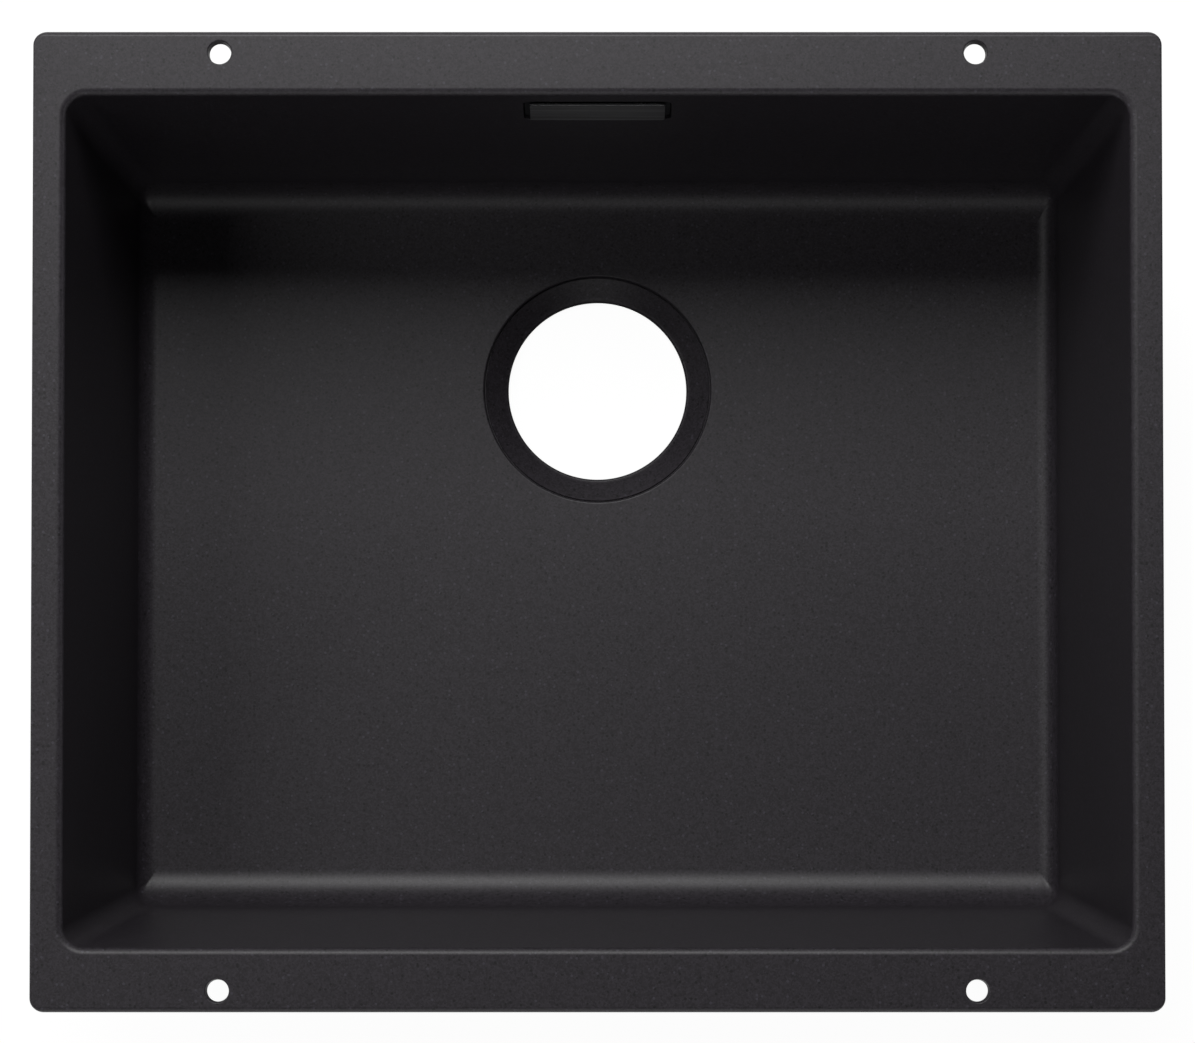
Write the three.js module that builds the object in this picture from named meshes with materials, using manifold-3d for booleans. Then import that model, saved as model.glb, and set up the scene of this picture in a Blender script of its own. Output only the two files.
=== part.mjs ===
// Undermount kitchen sink: one moulded composite bowl with a flat rim, and the overflow set in its back wall.
// Millimetres, +Z up, -Y towards the user. The origin is the middle of the rim's top face, where the worktop rests.
import * as THREE from "three";
import { mergeVertices } from "three/addons/utils/BufferGeometryUtils.js";
import Module from "manifold-3d";

// ---- Driving dimensions: bowl ----
const bowlWidth = 500; // opening at the rim's top face, left to right, before its edge is rounded
const bowlDepth = 400; // the same, front to back
const bowlHeight = 190; // rim's top face down to the floor at the drain
const rimSideWidth = 15; // rim beside the opening, at its left and right
const rimLongWidth = 30; // the same at the front and the back
const rimThickness = 8;
const rimCornerRadius = 8; // seen from above
const rimSideEdge = 0.8; // rounding of the rim's left and right top edges
const rimLongEdge = 2.5; // rounding of the rim's front and back top edges
const rimUnderEdge = 1; // rounding of the rim's lower edge
const floorFall = 1.5; // how much the floor falls from the walls to the drain
const wallDraft = 20; // how far each wall leans in over the bowl's height
const wallThickness = 8;
const floorThickness = 8.5;
const mouthEdgeRadius = 3.8; // rounded edge between rim and wall
const wallCornerRadius = 10; // upright corners of the bowl, seen from above
const sideFilletRadius = 10; // floor to left and right walls
const longFilletRadius = 19; // floor to front and back walls
const floorCornerRadius = 1.2; // what is left of the corner where the fillets meet the floor
const rimRootRadius = 4; // hollow between the rim's underside and the outer wall

// ---- Driving dimensions: rim holes ----
const holeSpacingX = 355;
const holeInset = 10; // hole centres to the rim's front and back edges
const holeTopDiameter = 11;
const holeBottomDiameter = 10.2; // the moulded hole tapers
const holeEdge = 0.6; // rounding of the hole's top edge

// ---- Driving dimensions: drain ----
const drainOffset = 79; // drain centre behind the middle of the bowl
const drainHoleDiameter = 90;
const recessDiameter = 116; // where the recess's edge leaves the floor
const recessEdge = 1.2; // rounding of that edge
const recessStep = 2; // depth of the upright step at the recess's edge
const seatFall = 7; // how far the cone of the seat falls to the hole
const seatLand = 1.3; // rounding of the hole's upper edge
const drainDepth = 14.5; // floor at the drain down to the underside of its boss
const bossDiameter = 134;
const bossFlare = 6; // how much wider the boss is where it joins the floor
const bossEdge = 1; // bevel round the boss's underside

// ---- Driving dimensions: overflow ----
const coverWidth = 64;
const coverHeight = 28;
const coverThickness = 1;
const coverProud = 1; // how far the plate stands in front of the wall's face
const coverTop = 16.5; // rim's top face down to the plate's upper edge
const coverCornerRadius = 1.8;
const coverSoftening = 0.25; // rounding of the plate's edges
const inletGap = 3; // all round the plate, where the water goes in
const pocketDepth = 4.8; // wall's face to the ledge that the frame sits on
const pocketCornerRadius = 4;
const ledgeWidth = 6; // pocket's side to the hole through the wall
const throatCornerRadius = 3;
const sealThickness = 0.8; // gasket in front of the ledge
const wallSealThickness = 1.5; // gasket behind the wall
const frameFlange = 1.5;
const frameWall = 1.5;
const blockWidth = 10; // the frame's two screw blocks
const blockHeight = 12;
const springThickness = 0.6;
const springWidth = 6;
const springReach = 8; // length of the legs along the block
const springFlare = 1.1; // how far a leg's tip turns out
const seatMargin = 9; // how much wider than the throat the rear body's flange is, each side
const bodyFlange = 2.5;
const bodyWall = 2.2;
const bodyCornerRadius = 6;
const ribThickness = 1.5;
const ribReach = 8; // how far the flange's ribs run back over the elbow
const spigotDiameter = 20;
const spigotLength = 34;
const barbHeight = 0.9;
const barbCount = 3;
const barbPitch = 7;
const screwLength = 20;
const screwDiameter = 5;
const screwHeadDiameter = 9.2;
const screwHeadHeight = 2.5;
const driveAcrossFlats = 3; // hexagon socket in the head
const driveDepth = 1.6;
const insertLength = 8;
const insertWall = 1.2;
const knurlCount = 18; // grooves round the insert
const bossWall = 2; // plastic round and behind the insert
const fitGap = 0.3; // between pieces that touch

// ---- Fineness of the curves ----
const cornerSteps = 6;
const filletSteps = 6;
const edgeSteps = 3;
const slabSteps = 4;
const holeSides = 24;
const drainSides = 64;
const hoodSteps = 8;
const hoodSides = 28;

const wasm = await Module();
wasm.setup();

// ---------------------------------------------------------------- solids

// A closed geometry as a solid, with its faces turned to point out.
function solid(geometry) {
  const bare = geometry.clone();
  for (const name of Object.keys(bare.attributes)) {
    if (name !== "position") bare.deleteAttribute(name);
  }
  const merged = mergeVertices(bare, 1e-4);
  const corners = merged.index.array;
  const kept = [];
  for (let i = 0; i < corners.length; i += 3) {
    const [a, b, c] = [corners[i], corners[i + 1], corners[i + 2]];
    if (a !== b && b !== c && c !== a) kept.push(a, b, c);
  }
  const vertProperties = new Float32Array(merged.attributes.position.array);
  const made = new wasm.Manifold(new wasm.Mesh({ numProp: 3, vertProperties, triVerts: new Uint32Array(kept) }));
  if (made.volume() > 0) return made;
  return new wasm.Manifold(new wasm.Mesh({ numProp: 3, vertProperties, triVerts: new Uint32Array(kept.reverse()) }));
}

// A solid back as a geometry with one flat normal for each face.
function geometryOf(made) {
  const mesh = made.getMesh();
  const geometry = new THREE.BufferGeometry();
  geometry.setAttribute("position", new THREE.BufferAttribute(new Float32Array(mesh.vertProperties), 3));
  geometry.setIndex(new THREE.BufferAttribute(new Uint32Array(mesh.triVerts), 1));
  const flat = geometry.toNonIndexed();
  flat.computeVertexNormals();
  return flat;
}

function piece(name, made, material, matrix) {
  const mesh = new THREE.Mesh(geometryOf(made), material);
  mesh.name = name;
  if (matrix) mesh.applyMatrix4(matrix);
  return mesh;
}

// Joins rings of points into one skin. A ring stack that is open closes with a fan at each end,
// and one that wraps joins its last ring to its first.
function skin(rings, { wraps = false, firstTip = null, lastTip = null } = {}) {
  const sides = rings[0].length;
  const position = rings.flat().flatMap((point) => [point.x, point.y, point.z]);
  const index = [];
  const last = wraps ? rings.length : rings.length - 1;
  for (let ring = 0; ring < last; ring++) {
    const here = ring * sides;
    const next = ((ring + 1) % rings.length) * sides;
    for (let side = 0; side < sides; side++) {
      const along = (side + 1) % sides;
      index.push(here + side, here + along, next + along, here + side, next + along, next + side);
    }
  }
  const fan = (tip, start, forwards) => {
    const centre = position.length / 3;
    position.push(tip.x, tip.y, tip.z);
    for (let side = 0; side < sides; side++) {
      const along = (side + 1) % sides;
      if (forwards) index.push(centre, start + side, start + along);
      else index.push(centre, start + along, start + side);
    }
  };
  if (firstTip) fan(firstTip, 0, false);
  if (lastTip) fan(lastTip, (rings.length - 1) * sides, true);
  const geometry = new THREE.BufferGeometry();
  geometry.setAttribute("position", new THREE.Float32BufferAttribute(position, 3));
  geometry.setIndex(index);
  return solid(geometry);
}

// A body of revolution about Z from (radius, height) points that close on themselves or on the axis.
function turned(points, sides) {
  const profile = points.map(([radius, height]) => new THREE.Vector2(radius, height));
  return solid(new THREE.LatheGeometry(profile, sides).rotateX(Math.PI / 2));
}

// The same about the Y axis, with height along +Y.
function turnedAlongY(points, sides) {
  const profile = points.map(([radius, height]) => new THREE.Vector2(radius, height));
  return solid(new THREE.LatheGeometry(profile, sides));
}

// A rectangle with rounded corners in X and Z.
function roundedOutline(width, height, radius) {
  const shape = new THREE.Shape();
  const x = width / 2;
  const z = height / 2;
  shape.moveTo(x, z - radius);
  shape.absarc(x - radius, z - radius, radius, 0, Math.PI / 2, false);
  shape.absarc(-x + radius, z - radius, radius, Math.PI / 2, Math.PI, false);
  shape.absarc(-x + radius, -z + radius, radius, Math.PI, 1.5 * Math.PI, false);
  shape.absarc(x - radius, -z + radius, radius, 1.5 * Math.PI, 2 * Math.PI, false);
  return shape;
}

// A slab of that outline from one distance behind the wall's face to another, with its edges softened if asked.
function slab(width, height, radius, front, back, softening = 0) {
  const outline = roundedOutline(width - 2 * softening, height - 2 * softening, radius - softening);
  const geometry = new THREE.ExtrudeGeometry(outline, {
    depth: back - front - 2 * softening,
    curveSegments: slabSteps,
    bevelEnabled: softening > 0,
    bevelSize: softening,
    bevelThickness: softening,
    bevelSegments: 2,
  });
  geometry.translate(0, 0, softening);
  geometry.rotateX(-Math.PI / 2); // the outline now stands in X and Z and the depth runs along +Y
  geometry.translate(0, front, 0);
  return solid(geometry);
}

function box(left, right, front, back, bottom, top) {
  const geometry = new THREE.BoxGeometry(right - left, back - front, top - bottom);
  geometry.translate((left + right) / 2, (front + back) / 2, (bottom + top) / 2);
  return solid(geometry);
}

// ---------------------------------------------------------------- bowl

const rimWidth = bowlWidth + 2 * rimSideWidth;
const rimDepth = bowlDepth + 2 * rimLongWidth;
const holeSpacingY = rimDepth - 2 * holeInset;
const draftSlope = wallDraft / bowlHeight;
const draftAngle = Math.atan(draftSlope);
const floorEdgeZ = -bowlHeight + floorFall; // the floor where it meets the fillets
const mix = (a, b, share) => a + (b - a) * share;

// One level ring of the bowl's skin. The sides and the long walls may stand at their own heights,
// and each corner passes smoothly from one to the other.
function bowlRing({ halfX, halfY, corner, sideZ, longZ = sideZ }) {
  const points = [];
  for (let quarter = 0; quarter < 4; quarter++) {
    for (let step = 0; step <= cornerSteps; step++) {
      const angle = ((quarter + step / cornerSteps) * Math.PI) / 2;
      const x = Math.cos(angle);
      const y = Math.sin(angle);
      const signX = quarter === 0 || quarter === 3 ? 1 : -1;
      const signY = quarter < 2 ? 1 : -1;
      points.push(
        new THREE.Vector3(
          signX * (halfX - corner) + corner * x,
          signY * (halfY - corner) + corner * y,
          mix(sideZ, longZ, y * y),
        ),
      );
    }
  }
  return points;
}

// Where a wall stands at a height: half the bowl's size there, with an offset out from the inner face.
const halfXAt = (z, offset = 0) => bowlWidth / 2 + z * draftSlope + offset / Math.cos(draftAngle);
const halfYAt = (z, offset = 0) => bowlDepth / 2 + z * draftSlope + offset / Math.cos(draftAngle);

// Angles through a rounding, from its first to its last value.
const sweep = (from, to, steps) => Array.from({ length: steps + 1 }, (_, i) => mix(from, to, i / steps));

// Rings round the floor fillets, from the wall down to the floor. The outer skin's fillets are larger by the wall.
function filletRings(offset, floorZ) {
  const sideRadius = sideFilletRadius + offset;
  const longRadius = longFilletRadius + offset;
  const sideCentreZ = floorZ + sideRadius;
  const longCentreZ = floorZ + longRadius;
  const sideCentre = halfXAt(sideCentreZ, offset - sideRadius);
  const longCentre = halfYAt(longCentreZ, offset - longRadius);
  return sweep(draftAngle, Math.PI / 2, filletSteps).map((angle) => {
    const corner = mix(wallCornerRadius + offset, floorCornerRadius + offset / 2, Math.sin(angle) ** 2);
    return bowlRing({
      halfX: sideCentre + sideRadius * Math.cos(angle),
      halfY: longCentre + longRadius * Math.cos(angle),
      corner,
      sideZ: sideCentreZ - sideRadius * Math.sin(angle),
      longZ: longCentreZ - longRadius * Math.sin(angle),
    });
  });
}

// Rings round the mouth's rounded edge, from the rim's top face down to the wall.
function mouthRings() {
  const radius = mouthEdgeRadius;
  return sweep(Math.PI / 2, draftAngle, edgeSteps).map((angle) => {
    const out = radius * (1 - Math.cos(angle));
    return bowlRing({
      halfX: halfXAt(-radius, radius) - radius * Math.cos(angle),
      halfY: halfYAt(-radius, radius) - radius * Math.cos(angle),
      corner: wallCornerRadius + out,
      sideZ: radius * (Math.sin(angle) - 1),
    });
  });
}

// Rings round the rim's outer edges, from the top face down and in to its underside.
function rimRings() {
  const halfX = rimWidth / 2;
  const halfY = rimDepth / 2;
  const top = sweep(Math.PI / 2, 0, edgeSteps).map((angle) => {
    const back = 1 - Math.cos(angle);
    const down = 1 - Math.sin(angle);
    return bowlRing({
      halfX: halfX - rimSideEdge * back,
      halfY: halfY - rimLongEdge * back,
      corner: rimCornerRadius - rimLongEdge * back,
      sideZ: -rimSideEdge * down,
      longZ: -rimLongEdge * down,
    });
  });
  const under = sweep(0, Math.PI / 2, 2).map((angle) => {
    const back = rimUnderEdge * (1 - Math.cos(angle));
    return bowlRing({
      halfX: halfX - back,
      halfY: halfY - back,
      corner: rimCornerRadius - back,
      sideZ: -rimThickness + rimUnderEdge * (1 - Math.sin(angle)),
    });
  });
  return [...top, ...under];
}

// Rings round the hollow where the outer wall leaves the rim's underside.
function rootRings() {
  const radius = rimRootRadius;
  const centreZ = -rimThickness - radius;
  return sweep(0, Math.PI / 2 - draftAngle, edgeSteps).map((angle) =>
    bowlRing({
      halfX: halfXAt(centreZ, wallThickness + radius) - radius * Math.sin(angle),
      halfY: halfYAt(centreZ, wallThickness + radius) - radius * Math.sin(angle),
      corner: wallCornerRadius + wallThickness + radius * (1 - Math.sin(angle)),
      sideZ: centreZ + radius * Math.cos(angle),
    }),
  );
}

function bowlShell() {
  const floorTip = new THREE.Vector3(0, drainOffset, -bowlHeight);
  const underFloorZ = floorEdgeZ - floorThickness;
  const underTip = new THREE.Vector3(0, drainOffset, -bowlHeight - floorThickness);
  const inside = [...filletRings(0, floorEdgeZ).reverse(), ...mouthRings().reverse()];
  const outside = [...rimRings(), ...rootRings(), ...filletRings(wallThickness, underFloorZ)];
  return skin([...inside, ...outside], { firstTip: floorTip, lastTip: underTip });
}

// The drain's recess and hole, as the solid that is cut out of the floor.
function drainCutter() {
  const recessRadius = recessDiameter / 2;
  const holeRadius = drainHoleDiameter / 2;
  const stepRadius = recessRadius - recessEdge;
  const edge = sweep(Math.PI / 2, 0, edgeSteps).map((angle) => [
    recessRadius - recessEdge * Math.cos(angle),
    recessEdge * (Math.sin(angle) - 1),
  ]);
  const coneTop = [stepRadius - recessEdge / 2, -recessStep];
  const land = sweep(Math.PI / 2, 0, edgeSteps).map((angle) => [
    holeRadius + seatLand * (1 - Math.cos(angle)),
    -recessStep - seatFall + seatLand * (Math.sin(angle) - 1),
  ]);
  const above = floorFall + 1;
  const below = -drainDepth - 1;
  const profile = [
    [0, above],
    [recessRadius, above],
    ...edge,
    [stepRadius, -recessStep + recessEdge / 2],
    coneTop,
    ...land,
    [holeRadius, below],
    [0, below],
  ];
  return turned(profile, drainSides).translate([0, drainOffset, -bowlHeight]);
}

// The thick ring under the floor that the drain fitting is tightened against.
function drainBoss() {
  const radius = bossDiameter / 2;
  const profile = [
    [0, -floorThickness / 2],
    [radius + bossFlare, -floorThickness / 2],
    [radius + bossFlare, -floorThickness],
    [radius, -floorThickness - bossFlare / 2],
    [radius, -drainDepth + bossEdge],
    [radius - bossEdge, -drainDepth],
    [0, -drainDepth],
  ];
  return turned(profile, drainSides).translate([0, drainOffset, -bowlHeight]);
}

function rimHoleCutter(x, y) {
  const topRadius = holeTopDiameter / 2;
  const bottomRadius = holeBottomDiameter / 2;
  const edge = sweep(Math.PI / 2, 0, 3).map((angle) => [
    topRadius + holeEdge * (1 - Math.cos(angle)),
    holeEdge * (Math.sin(angle) - 1),
  ]);
  const profile = [
    [0, 1],
    [topRadius + holeEdge, 1],
    ...edge,
    [bottomRadius, -rimThickness],
    [bottomRadius, -rimThickness - 1],
    [0, -rimThickness - 1],
  ];
  return turned(profile, holeSides).translate([x, y, 0]);
}

// ---------------------------------------------------------------- overflow, laid out against the back wall
// These pieces are made in the wall's own frame: X left to right, Y from its inner face (0) outwards,
// Z up along it. That frame leans with the wall's draft.

const coverMiddle = coverTop + (coverHeight / 2) * Math.cos(draftAngle) - coverProud * Math.sin(draftAngle);
const wallFrame = new THREE.Matrix4()
  .makeTranslation(0, halfYAt(-coverMiddle), -coverMiddle)
  .multiply(new THREE.Matrix4().makeRotationX(-draftAngle));

const pocketWidth = coverWidth + 2 * inletGap;
const pocketHeight = coverHeight + 2 * inletGap;
const throatWidth = pocketWidth - 2 * ledgeWidth;
const throatHeight = pocketHeight - 2 * ledgeWidth;
const sealFront = pocketDepth - fitGap - sealThickness;
const flangeFront = sealFront - fitGap - frameFlange;
const flangeBack = flangeFront + frameFlange;
const sleeveWidth = throatWidth - 2 * fitGap;
const sleeveHeight = throatHeight - 2 * fitGap;
const passageWidth = sleeveWidth - 2 * frameWall;
const passageHeight = sleeveHeight - 2 * frameWall;
const screwX = passageWidth / 2 - blockWidth / 2;
const wallSealFront = wallThickness + fitGap;
const bodyFront = wallSealFront + wallSealThickness + fitGap;
const bodyBack = bodyFront + bodyFlange;
const sleeveBack = bodyBack - fitGap; // the frame's sleeve fills the rear body's mouth
const bodyWidth = throatWidth + 2 * seatMargin;
const bodyHeight = throatHeight + 2 * seatMargin;
const mouthWidth = sleeveWidth + 4 * fitGap; // the rear body's mouth round the sleeve
const mouthHeight = sleeveHeight + 4 * fitGap;
const insertFront = bodyBack + fitGap;
const insertBore = screwDiameter / 2 + fitGap;
const insertRadius = insertBore + insertWall;
const socketRadius = insertRadius + fitGap;
const headFront = flangeFront + fitGap;
const screwTip = headFront + screwLength;
const socketBack = Math.max(screwTip, insertFront + insertLength) + 2 * fitGap;
const bossRadius = socketRadius + bossWall;

function overflowCutter() {
  const pocket = slab(pocketWidth, pocketHeight, pocketCornerRadius, -wallThickness, pocketDepth);
  const throat = slab(throatWidth, throatHeight, throatCornerRadius, pocketDepth / 2, 2 * wallThickness);
  return pocket.add(throat).transform(wallFrame.elements);
}

function sinkBowl() {
  let bowl = bowlShell().add(drainBoss()).subtract(drainCutter()).subtract(overflowCutter());
  for (const x of [-holeSpacingX / 2, holeSpacingX / 2]) {
    for (const y of [-holeSpacingY / 2, holeSpacingY / 2]) {
      bowl = bowl.subtract(rimHoleCutter(x, y));
    }
  }
  return bowl;
}

function overflowCover() {
  return slab(coverWidth, coverHeight, coverCornerRadius, -coverProud, coverThickness - coverProud, coverSoftening);
}

// A leaf bent into a U: its web lies on the back of the cover, and its legs grip a screw block from above and below.
function coverSpring(side) {
  const webFront = coverThickness - coverProud + fitGap;
  const webBack = webFront + springThickness;
  const legInside = blockHeight / 2 + fitGap;
  const tipBack = webBack + springReach;
  const bendBack = tipBack - springReach / 4;
  const profile = new THREE.Shape();
  profile.moveTo(webFront, -legInside - springThickness);
  profile.lineTo(webFront, legInside + springThickness);
  profile.lineTo(bendBack, legInside + springThickness);
  profile.lineTo(tipBack, legInside + springThickness + springFlare);
  profile.lineTo(tipBack, legInside + springFlare);
  profile.lineTo(bendBack, legInside);
  profile.lineTo(webBack, legInside);
  profile.lineTo(webBack, -legInside);
  profile.lineTo(bendBack, -legInside);
  profile.lineTo(tipBack, -legInside - springFlare);
  profile.lineTo(tipBack, -legInside - springThickness - springFlare);
  profile.lineTo(bendBack, -legInside - springThickness);
  profile.closePath();
  const geometry = new THREE.ExtrudeGeometry(profile, { depth: springWidth, bevelEnabled: false });
  geometry.applyMatrix4(new THREE.Matrix4().set(0, 0, 1, 0, 1, 0, 0, 0, 0, 1, 0, 0, 0, 0, 0, 1));
  geometry.translate(side * screwX - springWidth / 2, 0, 0);
  return solid(geometry);
}

function overflowFrame() {
  const flangeWidth = pocketWidth - 2 * fitGap;
  const flangeHeight = pocketHeight - 2 * fitGap;
  let frame = slab(flangeWidth, flangeHeight, pocketCornerRadius - fitGap, flangeFront, flangeBack);
  frame = frame.add(slab(sleeveWidth, sleeveHeight, throatCornerRadius - fitGap, flangeFront, sleeveBack));
  const passageRadius = throatCornerRadius - fitGap - frameWall / 2;
  frame = frame.subtract(slab(passageWidth, passageHeight, passageRadius, flangeFront - 1, sleeveBack + 1));
  for (const side of [-1, 1]) {
    const inner = side * (screwX - blockWidth / 2);
    const outer = side * (screwX + blockWidth / 2 + frameWall / 2);
    const left = Math.min(inner, outer);
    const right = Math.max(inner, outer);
    frame = frame.add(box(left, right, flangeFront, sleeveBack, -blockHeight / 2, blockHeight / 2));
    frame = frame.subtract(screwCutter().translate([side * screwX, 0, 0]));
  }
  return frame;
}

// The hole and countersink in a screw block.
function screwCutter() {
  const bore = screwDiameter / 2 + fitGap;
  const head = screwHeadDiameter / 2 + fitGap;
  const cone = [head, headFront];
  const coneEnd = [bore, headFront + screwHeadHeight];
  const profile = [[0, flangeFront - 1], [head, flangeFront - 1], cone, coneEnd, [bore, sleeveBack + 1]];
  return turnedAlongY([...profile, [0, sleeveBack + 1]], holeSides);
}

function frameScrew(side) {
  const headRadius = screwHeadDiameter / 2;
  const shank = screwDiameter / 2;
  const profile = [
    [0, headFront],
    [headRadius - fitGap, headFront],
    [headRadius, headFront + fitGap],
    [shank, headFront + fitGap + headRadius - shank],
    [shank, screwTip - fitGap],
    [shank - fitGap, screwTip],
    [0, screwTip],
  ];
  const driveRadius = driveAcrossFlats / Math.sqrt(3);
  const drive = turnedAlongY(
    [
      [0, headFront - 1],
      [driveRadius, headFront - 1],
      [driveRadius, headFront + driveDepth],
      [0, headFront + driveDepth + driveRadius / 3],
    ],
    6,
  );
  return turnedAlongY(profile, holeSides).subtract(drive).translate([side * screwX, 0, 0]);
}

// A knurled brass sleeve, moulded into the rear body's boss.
function threadInsert(side) {
  const outline = new THREE.Shape();
  for (let tooth = 0; tooth < 2 * knurlCount; tooth++) {
    const angle = (tooth * Math.PI) / knurlCount;
    const radius = tooth % 2 ? insertRadius - fitGap : insertRadius;
    const point = [radius * Math.cos(angle), radius * Math.sin(angle)];
    if (tooth) outline.lineTo(...point);
    else outline.moveTo(...point);
  }
  outline.closePath();
  outline.holes.push(new THREE.Path().absarc(0, 0, insertBore, 0, 2 * Math.PI, true));
  const geometry = new THREE.ExtrudeGeometry(outline, {
    depth: insertLength,
    bevelEnabled: false,
    curveSegments: holeSides / 2,
  });
  geometry.rotateX(-Math.PI / 2).translate(side * screwX, insertFront, 0);
  return solid(geometry);
}

function frameSeal() {
  const outside = slab(pocketWidth - 2 * fitGap, pocketHeight - 2 * fitGap, pocketCornerRadius - fitGap,
    sealFront, sealFront + sealThickness);
  const inside = slab(throatWidth, throatHeight, throatCornerRadius, sealFront - 1, pocketDepth);
  return outside.subtract(inside);
}

function wallSeal() {
  const back = wallSealFront + wallSealThickness;
  const outside = slab(bodyWidth, bodyHeight, bodyCornerRadius, wallSealFront, back);
  return outside.subtract(slab(throatWidth, throatHeight, throatCornerRadius, wallThickness, back + 1));
}

// ---------------------------------------------------------------- rear body
// The elbow turns the water from the mouth, which looks forwards, down to the spigot. Its sections stand in planes
// that turn about one line along X, just under the mouth.

const spigotRadius = spigotDiameter / 2;
const hoodMouthWidth = mouthWidth + 2 * bodyWall;
const hoodMouthHeight = mouthHeight + 2 * bodyWall;
const sectionFront = bodyFront + bodyFlange / 4;
const turnZ = -hoodMouthHeight / 2 - bodyWall;
const ease = (share) => share * share * (3 - 2 * share);

// One section of the elbow, inset from its outer skin. share 0 is the mouth and 1 is the top of the spigot.
// A section of the mouth can stand further forwards, for the straight stretch before the turn.
function hoodSection(share, inset, forwards = 0) {
  const turn = (share * Math.PI) / 2;
  const eased = ease(share);
  const halfWidth = mix(hoodMouthWidth / 2, spigotRadius, eased) - inset;
  const halfHeight = mix(hoodMouthHeight / 2, spigotRadius, eased) - inset;
  const reach = mix(bodyWall + hoodMouthHeight / 2, spigotRadius + bodyWall / 4, eased);
  const corner = Math.min(mix(throatCornerRadius + bodyWall, spigotRadius, eased) - inset, halfWidth, halfHeight);
  const points = [];
  for (let side = 0; side < hoodSides; side++) {
    const quarter = Math.floor((4 * side) / hoodSides);
    const within = (side % (hoodSides / 4)) / (hoodSides / 4 - 1);
    const angle = ((quarter + within) * Math.PI) / 2;
    const signX = quarter === 0 || quarter === 3 ? 1 : -1;
    const signOut = quarter < 2 ? 1 : -1;
    const across = signX * (halfWidth - corner) + corner * Math.cos(angle);
    const out = reach + signOut * (halfHeight - corner) + corner * Math.sin(angle);
    points.push(new THREE.Vector3(across, bodyBack - forwards + out * Math.sin(turn), turnZ + out * Math.cos(turn)));
  }
  return points;
}

// The spigot's own sections: a plain ring of a radius at a depth below its top.
function spigotSection(radius, depth) {
  return hoodSection(1, spigotRadius - radius).map((point) => point.clone().setZ(turnZ - depth));
}

function overflowBody() {
  const shares = sweep(0, 1, hoodSteps);
  const straight = bodyBack - sectionFront;
  const outer = [hoodSection(0, 0, straight), ...shares.map((share) => hoodSection(share, 0))];
  const barbStart = spigotLength - barbCount * barbPitch;
  for (let barb = 0; barb < barbCount; barb++) {
    const top = barbStart + barb * barbPitch;
    outer.push(spigotSection(spigotRadius, top));
    outer.push(spigotSection(spigotRadius + barbHeight, top + 1));
    outer.push(spigotSection(spigotRadius, top + barbPitch - 1));
  }
  outer.push(spigotSection(spigotRadius - fitGap, spigotLength));
  const inner = [spigotSection(spigotRadius - bodyWall, spigotLength)];
  inner.push(...shares.map((share) => hoodSection(share, bodyWall)).reverse());
  inner.push(hoodSection(0, bodyWall, straight));
  let body = skin([...outer, ...inner], { wraps: true });
  body = body.add(slab(bodyWidth, bodyHeight, bodyCornerRadius, bodyFront, bodyBack));
  body = body.add(flangeRib(-1)).add(flangeRib(1)).subtract(mouthCutter());
  for (const side of [-1, 1]) {
    body = body.add(screwBoss().translate([side * screwX, 0, 0]));
    body = body.subtract(screwSocket().translate([side * screwX, 0, 0]));
  }
  return body.subtract(passageCutter());
}

const middleOf = (ring) => ring.reduce((sum, point) => sum.add(point), new THREE.Vector3()).divideScalar(ring.length);

// A plug through a run of rings, closed at both ends.
const plug = (rings) => skin(rings, { firstTip: middleOf(rings[0]), lastTip: middleOf(rings.at(-1)) });

function mouthCutter() {
  return plug([hoodSection(0, bodyWall, bodyBack - bodyFront + 1), hoodSection(0, bodyWall)]);
}

// A blind boss for a thread insert, with a domed back.
function screwBoss() {
  const back = socketBack + bossWall;
  const dome = sweep(0, Math.PI / 2, 3).map((angle) => [
    bossRadius - bossWall * (1 - Math.cos(angle)),
    back - bossWall * (1 - Math.sin(angle)),
  ]);
  return turnedAlongY([[0, bodyBack], [bossRadius, bodyBack], ...dome, [0, back]], holeSides);
}

function screwSocket() {
  const profile = [[0, bodyBack - 1], [socketRadius, bodyBack - 1], [socketRadius, socketBack], [0, socketBack]];
  return turnedAlongY(profile, holeSides);
}

// The water's way from the mouth to the spigot, kept clear between the two bosses.
function passageCutter() {
  const halfPassage = screwX - bossRadius;
  const shares = sweep(0, 1, hoodSteps);
  const rings = shares.map((share) =>
    hoodSection(share, bodyWall).map((point) => {
      const narrowed = point.clone();
      narrowed.x = Math.sign(point.x) * Math.min(Math.abs(point.x), halfPassage);
      return narrowed;
    }),
  );
  rings.push(spigotSection(spigotRadius - bodyWall, spigotLength + 1));
  return plug(rings);
}

// A thin upright rib that stiffens the flange above the elbow.
function flangeRib(side) {
  const x = side * (mouthWidth / 4);
  const foot = hoodMouthHeight / 2 - bodyWall / 2; // inside the elbow's wall
  const top = bodyHeight / 2 - ribThickness;
  const front = bodyFront + bodyFlange / 2; // inside the flange
  const profile = new THREE.Shape();
  profile.moveTo(front, foot);
  profile.lineTo(front, top);
  profile.lineTo(bodyBack + ribThickness, top);
  profile.lineTo(bodyBack + ribReach, foot - bodyWall / 2);
  profile.closePath();
  const geometry = new THREE.ExtrudeGeometry(profile, { depth: ribThickness, bevelEnabled: false });
  geometry.applyMatrix4(new THREE.Matrix4().set(0, 0, 1, 0, 1, 0, 0, 0, 0, 1, 0, 0, 0, 0, 0, 1));
  geometry.translate(x - ribThickness / 2, 0, 0);
  return solid(geometry);
}

// ---------------------------------------------------------------- the sink

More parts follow.
